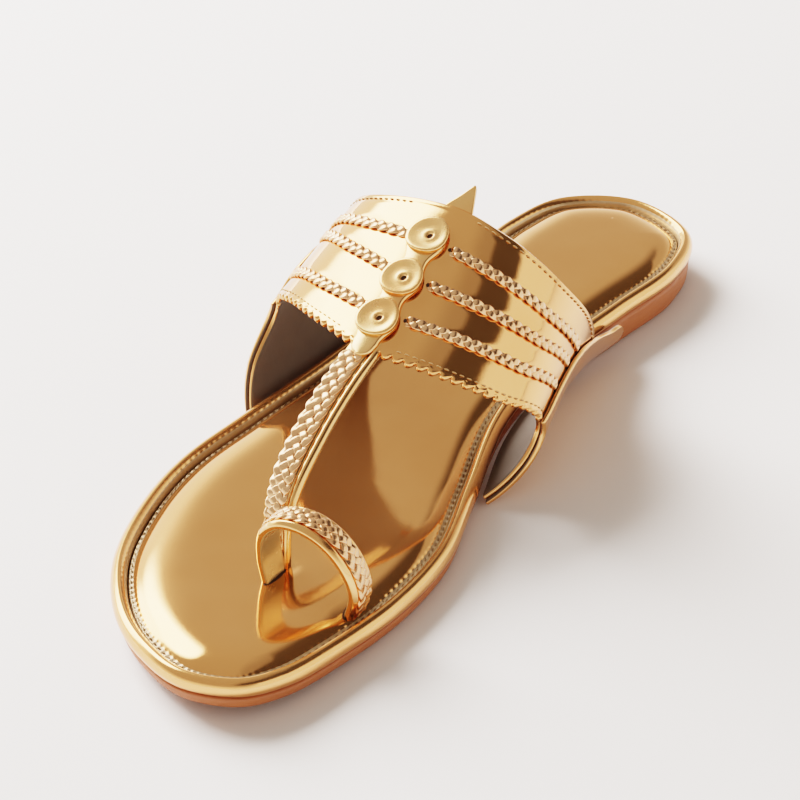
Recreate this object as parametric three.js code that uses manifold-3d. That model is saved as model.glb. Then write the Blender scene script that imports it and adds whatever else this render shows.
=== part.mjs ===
// Kolhapuri toe-loop sandal for the right foot, in millimetres, +Z up.
// The toe points to -Y, the inner (medial) side of the foot is +X, the floor is z = 0.
import * as THREE from 'three';
import { mergeVertices } from 'three/addons/utils/BufferGeometryUtils.js';
import Module from 'manifold-3d';

const wasm = await Module();
wasm.setup();

// Driving sizes of the last and the sole
const HEEL_HEIGHT = 8.5;
const FOREFOOT_THICKNESS = 3.5;
const TOE_SPRING = 4;
const HEEL_START_Y = 70;
const BALL_Y = -30;
const SPRING_START_Y = -60;
const SPRING_LENGTH = 65;
const ARCH_RISE = 2.4;
const ARCH_FRONT_Y = -15;
const ARCH_BACK_Y = 62;
const ARCH_RISES = { front: 0.7, back: 0.84 };

// Leather, clearances and widths
const CLEARANCE = 0.3;
const FOOT_CLEARANCE = 0.4;
const FOOT_DROP = 1;
const WALL = 1.6;
const PANEL_STEP = 1.2;
const STRAP_WALL = 1.6;
const STRAP_OVERLAP = 0.9;
const TUCK_DEPTH = 5;
const TUCK_THICKNESS = 1.4;
const TUCK_DROP = 0.2;
const TUCK_REACH = 1.6;
const PANEL_SEAT = 0.65;
const BRAID_WIDTH = 3.5;
const BRAID_HEIGHT = 2;
const STRIP_THICKNESS = 1;
const ROSETTE_RADIUS = 5.4;
const PINK_DEPTH = 1.3;
const PINK_RANGE = { from: 0.18, to: 0.84 };

// Numbers of facets
const OUTLINE_SAMPLES = 900;
const OUTLINE_STEPS = 80;
const BAND_ROWS = 6;
const BAND_COLUMNS = 88;
const STRAP_STEPS = 24;
const LOOP_STEPS = 36;
const STRIP_STEPS = 28;
const HALVINGS = 24;
const PANEL_STEPS = 14;
const PANEL_ROWS = 7;
const BRAID_STEPS = 18;
const ROSETTE_STEPS = 18;

// Outline of the wrapped rim seen from above, from heel to toe
const HEEL_END = { x: -6, y: 128 };
const TOE_TIP = { x: 3, y: -120.5 };
const SOLE_SECTIONS = [
  { y: 118, lateral: -26.5, medial: 17 },
  { y: 98, lateral: -33.5, medial: 22.8 },
  { y: 72, lateral: -34.6, medial: 19.2 },
  { y: 40, lateral: -38.8, medial: 14.5 },
  { y: 12, lateral: -43.2, medial: 15.1 },
  { y: -18, lateral: -48.6, medial: 23.4 },
  { y: -44, lateral: -51.3, medial: 30.8 },
  { y: -66, lateral: -48.4, medial: 31.5 },
  { y: -88, lateral: -40.2, medial: 28.3 },
  { y: -106, lateral: -26, medial: 23.8 },
  { y: -116, lateral: -11.5, medial: 16.8 },
];

// Profiles round the outline: inset from the rim's outer edge, height above the sole seam or floor
const OUTSOLE_FOOT_INSET = 2.2;
const OUTSOLE_BEVEL = { inset: 1.3, height: 0.8 };
const OUTSOLE_TOP_INSET = 0.9;
const RIM_PROFILE = [
  { inset: 1.3, height: 0.2 },
  { inset: 0.35, height: 1 },
  { inset: 0, height: 2.3 },
  { inset: 0.4, height: 3.9 },
  { inset: 1.3, height: 4.9 },
  { inset: 2.4, height: 5.2 },
  { inset: 3.4, height: 4.4 },
  { inset: 4.1, height: 3.1 },
  { inset: 4.3, height: 0.2 },
];
const PAD_PROFILE = [
  { inset: 4.7, height: 0.2 },
  { inset: 4.7, height: 2.3 },
  { inset: 5.8, height: 2.5 },
  { inset: 7.2, height: 3.7 },
  { inset: 9.4, height: 4.9 },
  { inset: 12.6, height: 5.6 },
  { inset: 18, height: 6 },
];

// Sections of the last over the instep: the crest line, and on each side the handles of the curve
// from sole to crest. Flare and rise lead out of the sole, shoulder leads into the crest.
const CREST = [
  { y: -32, x: -4.2, z: 42 },
  { y: 0, x: -4.2, z: 56 },
  { y: 30, x: -4.2, z: 67 },
  { y: 66, x: -4.2, z: 72 },
];
const LATERAL_SECTIONS = [
  { y: -32, flare: 9, rise: 17, shoulder: 29 },
  { y: 0, flare: 13, rise: 24, shoulder: 35.5 },
  { y: 30, flare: 10, rise: 27, shoulder: 40 },
  { y: 66, flare: 6, rise: 24, shoulder: 32 },
];
const MEDIAL_SECTIONS = [
  { y: -32, flare: 9, rise: 8, shoulder: 26 },
  { y: 0, flare: 26, rise: 10, shoulder: 28 },
  { y: 30, flare: 22, rise: 12, shoulder: 26 },
  { y: 66, flare: 6, rise: 12, shoulder: 26 },
];

// Front and back edges of the band across the foot: 0 at the lateral sole, 1 at the medial sole
const BAND_EDGES = [
  { across: 0, front: -14, back: 37 },
  { across: 0.09, front: -8, back: 35.5 },
  { across: 0.175, front: 0.5, back: 33 },
  { across: 0.3, front: -10, back: 26.3 },
  { across: 0.4, front: -19.8, back: 20.7 },
  { across: 0.5, front: -26, back: 19 },
  { across: 0.6, front: -23.6, back: 19.8 },
  { across: 0.72, front: -14.6, back: 27 },
  { across: 0.85, front: 0.3, back: 41.5 },
  { across: 0.93, front: -6, back: 46 },
  { across: 1, front: -14, back: 48 },
];

// Side panels: top edge height along the foot, from the front corner to the end on the rim
const LATERAL_PANEL_TOP = [
  { y: -16, z: 24 },
  { y: 0, z: 31 },
  { y: 8, z: 38 },
  { y: 20, z: 40.5 },
  { y: 40, z: 33 },
  { y: 56, z: 19 },
  { y: 63, z: 13 },
  { y: 66, z: 9.5 },
];
const MEDIAL_PANEL_TOP = [
  { y: -16, z: 17 },
  { y: 0, z: 21 },
  { y: 14, z: 23.5 },
  { y: 30, z: 23.8 },
  { y: 42, z: 20.5 },
  { y: 56, z: 15 },
  { y: 63, z: 13 },
  { y: 66, z: 9.5 },
];
const PANEL_END_Y = 66;
const PANEL_FOOT_FRONT_Y = -14;
const PANEL_BLEND = 0.12;

// Centre lines of the toe strap and the toe loop, on the skin side of the leather
const TOE_STRAP_PATH = [
  { x: -4.7, y: -35.8, z: 40.6 },
  { x: -4.5, y: -50, z: 34.4 },
  { x: -4, y: -61.2, z: 27.4 },
  { x: -3.2, y: -67, z: 20 },
  { x: -1.6, y: -70, z: 10 },
  { x: -1.4, y: -70.4, z: 5 },
];
const TOE_STRAP_WIDTHS = { top: 9.2, slit: 5.4, from: 0.45, to: 0.95 };
const TOE_STRAP_LEAD_Y = [-10, -22];
const TOE_STRAP_BRAID = { from: 0.25, to: 0.74, shift: 1.4, width: 5 };
const TOE_LOOP_PATH = [
  { x: 0.8, y: -75.6, z: 5 },
  { x: 0.6, y: -75.6, z: 9.5 },
  { x: -0.4, y: -75.8, z: 17 },
  { x: 0.6, y: -76, z: 23.8 },
  { x: 4.8, y: -76.2, z: 28 },
  { x: 11, y: -76.2, z: 28.8 },
  { x: 17.2, y: -76, z: 26.2 },
  { x: 21.6, y: -75.6, z: 20.8 },
  { x: 23.4, y: -75.3, z: 14.5 },
  { x: 22, y: -75.2, z: 8.5 },
  { x: 21.4, y: -75.2, z: 5 },
];
const TOE_LOOP_WIDTH = 8.6;
const TOE_LOOP_BRAID = { from: 0.14, to: 0.88, shift: -0.4, width: 4.8 };

// Braids across the band: place from front edge to back edge at the lateral end, crest and medial end
const BRAIDS = [
  { name: 'braid_front', lateral: 0.26, crest: 0.235, medial: 0.31 },
  { name: 'braid_middle', lateral: 0.67, crest: 0.48, medial: 0.54 },
  { name: 'braid_back', lateral: 0.79, crest: 0.735, medial: 0.72 },
];
const BRAID_END_GAP = 0.014;
const BRAID_STARTS = { lateral: 0.463, medial: 0.5385 };
const ROSETTES = [
  { name: 'rosette_front', y: -17.4 },
  { name: 'rosette_middle', y: -5.4 },
  { name: 'rosette_back', y: 7.8 },
];
const ROSETTE_PROFILE = [
  { radius: 0.16, height: 0 },
  { radius: 0.16, height: 0.9 },
  { radius: 0.45, height: 1.4 },
  { radius: 0.8, height: 1.2 },
  { radius: 1, height: 0.6 },
  { radius: 1, height: 0 },
];
const CENTRE_STRIP = { front: -28, back: 12, width: 4.2, lobe: 0.7, length: 4, tip: 0.04 };
const TAIL = {
  base_y: 10,
  edge_y: 18.5,
  tip_y: 24.2,
  centre: 2.1,
  half_width: 5,
  tip_half_width: 0.5,
  slope: 0.88,
  skew: 1.75,
};

const GOLD = { color: 0xc8974e, roughness: 0.18, metalness: 0.9 };
const ROSE_GOLD = { color: 0xd9ae7c, roughness: 0.32, metalness: 0.8 };
const TAN = { color: 0xa55c37, roughness: 0.65, metalness: 0 };

// Small helpers
const clamp = (value, low, high) => Math.min(high, Math.max(low, value));
const lerp = (from, to, part) => from + (to - from) * part;
const smooth = (value, low, high) => {
  const part = clamp((value - low) / (high - low), 0, 1);
  return part * part * (3 - 2 * part);
};

// Smooth value of one column of a table, between its rows
function column(rows, key, name, at) {
  let row = 0;
  const turn = rows[1][key] > rows[0][key] ? 1 : -1;
  while (row < rows.length - 2 && (at - rows[row + 1][key]) * turn > 0) row += 1;
  const span = rows[row + 1][key] - rows[row][key];
  const slope = (index) => {
    const before = rows[Math.max(0, index - 1)];
    const after = rows[Math.min(rows.length - 1, index + 1)];
    return (after[name] - before[name]) / (after[key] - before[key]);
  };
  const part = clamp((at - rows[row][key]) / span, 0, 1);
  const square = part * part;
  const cube = square * part;
  return (2 * cube - 3 * square + 1) * rows[row][name]
    + (cube - 2 * square + part) * span * slope(row)
    + (3 * square - 2 * cube) * rows[row + 1][name]
    + (cube - square) * span * slope(row + 1);
}

// Sole heights along the foot
function seamHeight(y) {
  const slope = smooth(y, BALL_Y, HEEL_START_Y);
  return FOREFOOT_THICKNESS + (HEEL_HEIGHT - FOREFOOT_THICKNESS) * slope + toeLift(y);
}

function toeLift(y) {
  return TOE_SPRING * (Math.max(0, SPRING_START_Y - y) / SPRING_LENGTH) ** 2;
}

function floorHeight(y) {
  const part = (y - ARCH_FRONT_Y) / (ARCH_BACK_Y - ARCH_FRONT_Y);
  return toeLift(y) + ARCH_RISE * smooth(part, 0, ARCH_RISES.front) * (1 - smooth(part, ARCH_RISES.back, 1));
}

// Outline of the sole as a closed curve, lateral side first
const outlineCurve = new THREE.CatmullRomCurve3([
  new THREE.Vector3(HEEL_END.x, HEEL_END.y, 0),
  ...SOLE_SECTIONS.map((row) => new THREE.Vector3(row.lateral, row.y, 0)),
  new THREE.Vector3(TOE_TIP.x, TOE_TIP.y, 0),
  ...SOLE_SECTIONS.map((row) => new THREE.Vector3(row.medial, row.y, 0)).reverse(),
], true, 'centripetal');
const outlinePoints = outlineCurve.getPoints(OUTLINE_SAMPLES).slice(0, OUTLINE_SAMPLES);
const heelIndex = outlinePoints.reduce((best, p, i, all) => (p.y > all[best].y ? i : best), 0);
const toeIndex = outlinePoints.reduce((best, p, i, all) => (p.y < all[best].y ? i : best), 0);

// Point and outward normal of the outline at a place along the foot
function outlineAt(y, side) {
  const count = outlinePoints.length;
  const step = side === 'lateral' ? 1 : -1;
  const wrap = (index) => (index + 2 * count) % count;
  let index = heelIndex;
  while (wrap(index) !== toeIndex && outlinePoints[wrap(index + step)].y > y) index += step;
  const before = outlinePoints[wrap(index)];
  const after = outlinePoints[wrap(index + step)];
  const part = clamp((before.y - y) / Math.max(1e-6, before.y - after.y), 0, 1);
  const point = before.clone().lerp(after, part);
  const ahead = outlinePoints[wrap(index + 3 * step)];
  const behind = outlinePoints[wrap(index - 2 * step)];
  const tangent = ahead.clone().sub(behind).multiplyScalar(step).normalize();
  return { point, normal: new THREE.Vector3(-tangent.y, tangent.x, 0).multiplyScalar(-1) };
}

// One ring of points round the outline, paired so that point i faces point N - i
function outlineRing(inset, height) {
  const top = outlinePoints[heelIndex].y;
  const bottom = outlinePoints[toeIndex].y;
  return Array.from({ length: OUTLINE_STEPS }, (_, i) => {
    const angle = (2 * Math.PI * i) / OUTLINE_STEPS;
    const y = (top + bottom) / 2 + ((top - bottom) / 2) * Math.cos(angle);
    const { point, normal } = outlineAt(y, angle <= Math.PI ? 'lateral' : 'medial');
    const placed = point.addScaledVector(normal, -inset);
    placed.z = height(placed.y);
    return placed;
  });
}

// Closed geometry from points and triangles, turned so that its faces point out
function closedGeometry(points, triangles) {
  let volume = 0;
  const cross = new THREE.Vector3();
  triangles.forEach(([a, b, c]) => {
    volume += points[a].dot(cross.crossVectors(points[b], points[c]));
  });
  const order = volume < 0 ? triangles.map(([a, b, c]) => [a, c, b]) : triangles;
  const geometry = new THREE.BufferGeometry();
  const positions = points.flatMap((p) => p.toArray());
  geometry.setAttribute('position', new THREE.Float32BufferAttribute(positions, 3));
  geometry.setIndex(order.flat());
  return geometry;
}

// Skin through rings of equal length, either closed on itself or capped like a ladder at both ends
function loftRings(rings, closed) {
  const size = rings[0].length;
  const points = rings.flat();
  const triangles = [];
  const last = closed ? rings.length : rings.length - 1;
  for (let r = 0; r < last; r += 1) {
    const next = (r + 1) % rings.length;
    for (let i = 0; i < size; i += 1) {
      const j = (i + 1) % size;
      triangles.push([r * size + i, r * size + j, next * size + j]);
      triangles.push([r * size + i, next * size + j, next * size + i]);
    }
  }
  if (!closed) {
    const end = (rings.length - 1) * size;
    for (let i = 0; i < size / 2; i += 1) {
      const facing = (size - i) % size;
      if (i > 0) triangles.push([facing, i + 1, i], [end + facing, end + i, end + i + 1]);
      if (i < size / 2 - 1) {
        triangles.push([facing, size - i - 1, i + 1], [end + facing, end + i + 1, end + size - i - 1]);
      }
    }
  }
  return closedGeometry(points, triangles);
}

// Sheet with thickness: two grids of points joined round their border
function sheetSolid(outer, inner) {
  const rows = outer.length;
  const cols = outer[0].length;
  const points = [...outer.flat(), ...inner.flat()];
  const under = rows * cols;
  const triangles = [];
  const quad = (a, b, c, d) => triangles.push([a, b, c], [a, c, d]);
  for (let r = 0; r < rows - 1; r += 1) {
    for (let c = 0; c < cols - 1; c += 1) {
      const at = r * cols + c;
      quad(at, at + 1, at + cols + 1, at + cols);
      quad(under + at + cols, under + at + cols + 1, under + at + 1, under + at);
    }
  }
  for (let c = 0; c < cols - 1; c += 1) {
    const end = (rows - 1) * cols + c;
    quad(under + c, under + c + 1, c + 1, c);
    quad(end, end + 1, under + end + 1, under + end);
  }
  for (let r = 0; r < rows - 1; r += 1) {
    const start = r * cols;
    const end = start + cols - 1;
    quad(start, start + cols, under + start + cols, under + start);
    quad(under + end, under + end + cols, end + cols, end);
  }
  return closedGeometry(points, triangles);
}

// Solids for joining and cutting
function toSolid(geometry) {
  const merged = mergeVertices(geometry, 1e-5);
  return new wasm.Manifold(new wasm.Mesh({
    numProp: 3,
    vertProperties: new Float32Array(merged.attributes.position.array),
    triVerts: new Uint32Array(merged.index.array),
  }));
}

function toGeometry(solid) {
  const mesh = solid.getMesh();
  const geometry = new THREE.BufferGeometry();
  geometry.setAttribute('position', new THREE.BufferAttribute(new Float32Array(mesh.vertProperties), 3));
  geometry.setIndex(new THREE.BufferAttribute(new Uint32Array(mesh.triVerts), 1));
  return geometry;
}

// The last: a point over the instep, across from 0 (lateral sole) to 1 (medial sole)
const CREST_ACROSS = 0.5;

function lastPoint(across, y) {
  const lateral = across <= CREST_ACROSS;
  const part = lateral ? 2 * across : 2 * (1 - across);
  const { point } = outlineAt(y, lateral ? 'lateral' : 'medial');
  const out = lateral ? -1 : 1;
  const rows = lateral ? LATERAL_SECTIONS : MEDIAL_SECTIONS;
  const value = (name) => column(rows, 'y', name, y);
  const foot = new THREE.Vector3(point.x + out * FOOT_CLEARANCE, y, seamHeight(y) - FOOT_DROP);
  const crest = new THREE.Vector3(column(CREST, 'y', 'x', y), y, column(CREST, 'y', 'z', y));
  const leave = foot.clone().add(new THREE.Vector3(out * value('flare'), 0, value('rise')));
  const arrive = crest.clone().add(new THREE.Vector3(out * value('shoulder'), 0, 0));
  return new THREE.CubicBezierCurve3(foot, leave, arrive, crest).getPoint(part);
}

// Point at a height off the last, along its outward normal
const STEP_ACROSS = 0.004;
const STEP_Y = 0.5;
function offLast(across, y, height) {
  const low = clamp(across - STEP_ACROSS, 0, 1);
  const high = clamp(across + STEP_ACROSS, 0, 1);
  const round = lastPoint(high, y).sub(lastPoint(low, y));
  const along = lastPoint(across, y + STEP_Y).sub(lastPoint(across, y - STEP_Y));
  const normal = round.cross(along).normalize();
  return lastPoint(across, y).addScaledVector(normal, height);
}

const frontEdge = (across) => column(BAND_EDGES, 'across', 'front', across);
const backEdge = (across) => column(BAND_EDGES, 'across', 'back', across);
const bandY = (across, along) => lerp(frontEdge(across), backEdge(across), along);

// Where the last reaches a height, found by halving
function acrossAtHeight(side, y, z) {
  let low = side === 'lateral' ? 0 : 1;
  let high = CREST_ACROSS;
  for (let turn = 0; turn < HALVINGS; turn += 1) {
    const middle = (low + high) / 2;
    if (lastPoint(middle, y).z < z) low = middle;
    else high = middle;
  }
  return (low + high) / 2;
}

// Instep band: pinked along its front edge between the panels
function bandSolid() {
  const grid = (height) => Array.from({ length: BAND_ROWS + 1 }, (_, row) => (
    Array.from({ length: BAND_COLUMNS + 1 }, (__, c) => {
      const across = c / BAND_COLUMNS;
      const pinked = row === 0 && across > PINK_RANGE.from && across < PINK_RANGE.to && c % 2 === 1;
      const y = bandY(across, row / BAND_ROWS) + (pinked ? PINK_DEPTH : 0);
      return offLast(across, y, height);
    })
  ));
  return toSolid(sheetSolid(grid(WALL), grid(0)));
}

// Side panel: a step in the wall from the sole up to its arched top edge
function panelSolid(side, tops) {
  const sole = side === 'lateral' ? 0 : 1;
  const grid = (height) => Array.from({ length: PANEL_ROWS + 1 }, (_, row) => (
    Array.from({ length: PANEL_STEPS + 1 }, (__, step) => {
      const along = step / PANEL_STEPS;
      const rise = row / PANEL_ROWS;
      const corner = acrossAtHeight(side, 0, column(tops, 'y', 'z', 0));
      const start = frontEdge(lerp(sole, corner, rise));
      const y = lerp(start, PANEL_END_Y, along);
      const top = acrossAtHeight(side, y, column(tops, 'y', 'z', y));
      return offLast(lerp(sole, lerp(corner, top, smooth(along, 0, PANEL_BLEND)), rise), y, height);
    })
  ));
  return toSolid(sheetSolid(grid(WALL + PANEL_STEP), grid(PANEL_SEAT)));
}

// Foot of a panel, turned in between the rim and the outsole
function tuckSolid(side, grow) {
  const section = [
    { inset: -TUCK_REACH, drop: TUCK_THICKNESS + TUCK_DROP + grow },
    { inset: TUCK_DEPTH + grow, drop: TUCK_THICKNESS + TUCK_DROP + grow },
    { inset: TUCK_DEPTH + grow, drop: TUCK_DROP - 2 * grow },
    { inset: -TUCK_REACH, drop: TUCK_DROP - 2 * grow },
  ];
  const rail = ({ inset, drop }) => Array.from({ length: PANEL_STEPS + 1 }, (_, step) => {
    const y = lerp(PANEL_FOOT_FRONT_Y - grow, PANEL_END_Y + grow, step / PANEL_STEPS);
    const { point, normal } = outlineAt(y, side);
    const placed = point.addScaledVector(normal, -inset);
    placed.z = seamHeight(y) - drop;
    return placed;
  });
  const [outerLow, innerLow, innerHigh, outerHigh] = section.map(rail);
  return toSolid(sheetSolid([outerHigh, innerHigh], [outerLow, innerLow]));
}

// Flat strap along a path: width direction given at both ends, skin side on the path
function strapGrid(curve, steps, widthAt, acrossAt, height) {
  return Array.from({ length: steps + 1 }, (_, step) => {
    const part = step / steps;
    const point = curve.getPoint(part);
    const tangent = curve.getTangent(part);
    const across = acrossAt(part);
    across.addScaledVector(tangent, -across.dot(tangent)).normalize();
    const normal = across.clone().cross(tangent).normalize();
    const half = widthAt(part) / 2;
    return [-1, 0, 1].map((edge) => point.clone()
      .addScaledVector(across, edge * half)
      .addScaledVector(normal, height));
  });
}

const pathCurve = (rows, lead = []) => new THREE.CatmullRomCurve3(
  [...lead, ...rows.map((row) => new THREE.Vector3(row.x, row.y, row.z))],
  false,
  'centripetal',
);
const toeStrapLead = TOE_STRAP_LEAD_Y.map((y) => offLast(CREST_ACROSS, y, -STRAP_OVERLAP));
const toeStrapCurve = pathCurve(TOE_STRAP_PATH, toeStrapLead);
const toeLoopCurve = pathCurve(TOE_LOOP_PATH);
const toeStrapNarrows = (part) => smooth(part, TOE_STRAP_WIDTHS.from, TOE_STRAP_WIDTHS.to);
const toeStrapWidth = (part) => lerp(TOE_STRAP_WIDTHS.top, TOE_STRAP_WIDTHS.slit, toeStrapNarrows(part));
const toeStrapAcross = () => new THREE.Vector3(-1, 0, 0);
const toeLoopAcross = () => new THREE.Vector3(0, -1, 0);

function toeStrapSolid(grow) {
  const width = (part) => toeStrapWidth(part) + 2 * grow;
  const outer = strapGrid(toeStrapCurve, STRAP_STEPS, width, toeStrapAcross, STRAP_WALL + grow);
  const inner = strapGrid(toeStrapCurve, STRAP_STEPS, width, toeStrapAcross, -grow);
  return toSolid(sheetSolid(outer, inner));
}

function toeLoopSolid(grow) {
  const width = () => TOE_LOOP_WIDTH + 2 * grow;
  const outer = strapGrid(toeLoopCurve, LOOP_STEPS, width, toeLoopAcross, STRAP_WALL + grow);
  const inner = strapGrid(toeLoopCurve, LOOP_STEPS, width, toeLoopAcross, -grow);
  return toSolid(sheetSolid(outer, inner));
}

// Pointed tail that comes out from under the band's back edge at the crest
function tailSolid() {
  const grid = (height) => [TAIL.base_y, TAIL.edge_y, TAIL.tip_y].map((y, row) => [-1, 0, 1].map((edge) => {
    const half = row === 2 ? TAIL.tip_half_width : TAIL.half_width;
    const beyond = Math.max(0, y - TAIL.edge_y);
    const point = offCrest(TAIL.centre + edge * half, y - beyond, height - STRAP_OVERLAP);
    const part = beyond / (TAIL.tip_y - TAIL.edge_y);
    return point.add(new THREE.Vector3(TAIL.skew * part, beyond, TAIL.slope * beyond));
  }));
  return toSolid(sheetSolid(grid(STRAP_WALL), grid(0)));
}

function upperGeometry() {
  const solid = bandSolid()
    .add(panelSolid('lateral', LATERAL_PANEL_TOP))
    .add(panelSolid('medial', MEDIAL_PANEL_TOP))
    .add(tuckSolid('lateral', 0))
    .add(tuckSolid('medial', 0))
    .add(toeStrapSolid(0))
    .add(toeLoopSolid(0))
    .add(tailSolid());
  return toGeometry(solid);
}

// Sole pieces
function outsoleGeometry() {
  const rings = [
    outlineRing(OUTSOLE_FOOT_INSET, floorHeight),
    outlineRing(OUTSOLE_BEVEL.inset, (y) => floorHeight(y) + OUTSOLE_BEVEL.height),
    outlineRing(OUTSOLE_TOP_INSET, (y) => seamHeight(y)),
  ];
  const solid = toSolid(loftRings(rings, false))
    .subtract(tuckSolid('lateral', CLEARANCE))
    .subtract(tuckSolid('medial', CLEARANCE));
  return toGeometry(solid);
}

function rimGeometry() {
  const rings = RIM_PROFILE.map(({ inset, height }) => outlineRing(inset, (y) => seamHeight(y) + height));
  return loftRings(rings, true);
}

function padGeometry() {
  const rings = PAD_PROFILE.map(({ inset, height }) => outlineRing(inset, (y) => seamHeight(y) + height));
  const solid = toSolid(loftRings(rings, false))
    .subtract(toeLoopSolid(CLEARANCE))
    .subtract(toeStrapSolid(CLEARANCE));
  return toGeometry(solid);
}

// Bar through closed sections of equal length, with a fan at each end
function barSolid(sections) {
  const size = sections[0].length;
  const points = sections.flat();
  const end = (sections.length - 1) * size;
  const triangles = [];
  for (let s = 0; s < sections.length - 1; s += 1) {
    for (let i = 0; i < size; i += 1) {
      const j = (i + 1) % size;
      triangles.push([s * size + i, s * size + j, (s + 1) * size + j]);
      triangles.push([s * size + i, (s + 1) * size + j, (s + 1) * size + i]);
    }
  }
  for (let i = 1; i < size - 1; i += 1) {
    triangles.push([0, i + 1, i], [end, end + i, end + i + 1]);
  }
  return closedGeometry(points, triangles);
}

// Plait: two rows of lobes that swell in turn, over a flat back
const PLAIT_PROFILE = [
  { side: -1, height: 0, strand: 0 },
  { side: -0.92, height: 0.55, strand: 1 },
  { side: -0.45, height: 0.95, strand: 1 },
  { side: 0, height: 0.62, strand: 0 },
  { side: 0.45, height: 0.95, strand: -1 },
  { side: 0.92, height: 0.55, strand: -1 },
  { side: 1, height: 0, strand: 0 },
];
const PLAIT_SWELL = 0.1;

function braidGeometry(width, place) {
  return barSolid(Array.from({ length: BRAID_STEPS + 1 }, (_, step) => {
    const swell = step % 2 === 0 ? PLAIT_SWELL : -PLAIT_SWELL;
    return PLAIT_PROFILE.map(({ side, height, strand }) => (
      place(step / BRAID_STEPS, (side * width) / 2, BRAID_HEIGHT * (height + swell * strand))
    ));
  }));
}

// Where a braid's end meets the panel's top edge
function braidEnd(row, side) {
  const tops = side === 'lateral' ? LATERAL_PANEL_TOP : MEDIAL_PANEL_TOP;
  const margin = side === 'lateral' ? BRAID_END_GAP : -BRAID_END_GAP;
  let across = BRAID_STARTS[side];
  for (let turn = 0; turn < HALVINGS; turn += 1) {
    const y = bandY(across, row[side]);
    across = acrossAtHeight(side, y, column(tops, 'y', 'z', y)) + margin;
  }
  return across;
}

function bandBraid(row, side) {
  const end = braidEnd(row, side);
  return braidGeometry(BRAID_WIDTH, (part, offset, height) => {
    const across = lerp(BRAID_STARTS[side], end, part);
    const along = lerp(row.crest, row[side], (across - CREST_ACROSS) / (end - CREST_ACROSS));
    return offLast(across, bandY(across, along) + offset, WALL + CLEARANCE + height);
  });
}

function strapBraid(curve, acrossAt, { from, to, shift, width }) {
  return braidGeometry(width, (part, offset, height) => {
    const at = lerp(from, to, part);
    const tangent = curve.getTangent(at);
    const across = acrossAt(at);
    across.addScaledVector(tangent, -across.dot(tangent)).normalize();
    const normal = across.clone().cross(tangent).normalize();
    return curve.getPoint(at)
      .addScaledVector(across, offset + shift)
      .addScaledVector(normal, STRAP_WALL + CLEARANCE + height);
  });
}

// Centre strip: lobes under the rosettes, rounded at the front
function centreStripGeometry() {
  const pitch = ROSETTES[1].y - ROSETTES[0].y;
  const { front, back, width, lobe, length, tip } = CENTRE_STRIP;
  const grid = (height) => Array.from({ length: STRIP_STEPS + 1 }, (_, step) => {
    const y = lerp(front, back, step / STRIP_STEPS);
    const wave = lobe * Math.cos((2 * Math.PI * (y - ROSETTES[0].y)) / pitch);
    const round = Math.sqrt(clamp((y - front) / length, tip, 1));
    const half = (width + wave) * round;
    return [-1, 0, 1].map((edge) => offCrest(edge * half, y, height));
  });
  const bottom = WALL + CLEARANCE;
  return sheetSolid(grid(bottom + STRIP_THICKNESS), grid(bottom));
}

// Point a distance to the side of the crest line, at a height off the last
function offCrest(side, y, height) {
  const width = lastPoint(CREST_ACROSS + STEP_ACROSS, y).x - lastPoint(CREST_ACROSS - STEP_ACROSS, y).x;
  return offLast(CREST_ACROSS + (2 * side * STEP_ACROSS) / width, y, height);
}

function rosetteGeometry(row) {
  const bottom = WALL + 2 * CLEARANCE + STRIP_THICKNESS;
  const rings = ROSETTE_PROFILE.map(({ radius, height }) => Array.from({ length: ROSETTE_STEPS }, (_, i) => {
    const angle = (2 * Math.PI * i) / ROSETTE_STEPS;
    const side = ROSETTE_RADIUS * radius * Math.cos(angle);
    const ahead = ROSETTE_RADIUS * radius * Math.sin(angle);
    return offCrest(side, row.y + ahead, bottom + height);
  }));
  return loftRings(rings, true);
}

// The assembly
const sandal = new THREE.Group();

function addPiece(name, geometry, finish) {
  const mesh = new THREE.Mesh(geometry, new THREE.MeshStandardMaterial(finish));
  mesh.name = name;
  sandal.add(mesh);
}

addPiece('outsole', outsoleGeometry(), TAN);
addPiece('rim_wrap', rimGeometry(), GOLD);
addPiece('insole_pad', padGeometry(), GOLD);
addPiece('upper', upperGeometry(), GOLD);
BRAIDS.forEach((row) => {
  addPiece(`${row.name}_lateral`, bandBraid(row, 'lateral'), ROSE_GOLD);
  addPiece(`${row.name}_medial`, bandBraid(row, 'medial'), ROSE_GOLD);
});
addPiece('toe_strap_braid', strapBraid(toeStrapCurve, toeStrapAcross, TOE_STRAP_BRAID), ROSE_GOLD);
addPiece('toe_loop_braid', strapBraid(toeLoopCurve, toeLoopAcross, TOE_LOOP_BRAID), ROSE_GOLD);
addPiece('centre_strip', centreStripGeometry(), GOLD);
ROSETTES.forEach((row) => addPiece(row.name, rosetteGeometry(row), GOLD));

// Stand the sandal on the floor with its box centred on the origin
const box = new THREE.Box3().setFromObject(sandal);
const middle = box.getCenter(new THREE.Vector3());
sandal.position.set(-middle.x, -middle.y, -box.min.z);

export default sandal;
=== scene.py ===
"""Looks of a gold kolhapuri toe-loop sandal for the right foot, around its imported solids.

Shapes are worked out in millimetres, toe to -Y, inner side of the foot to +X, floor at z = 0,
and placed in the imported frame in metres.
"""
import math

import bpy
import numpy as np
from mathutils import Matrix, Vector


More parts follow.
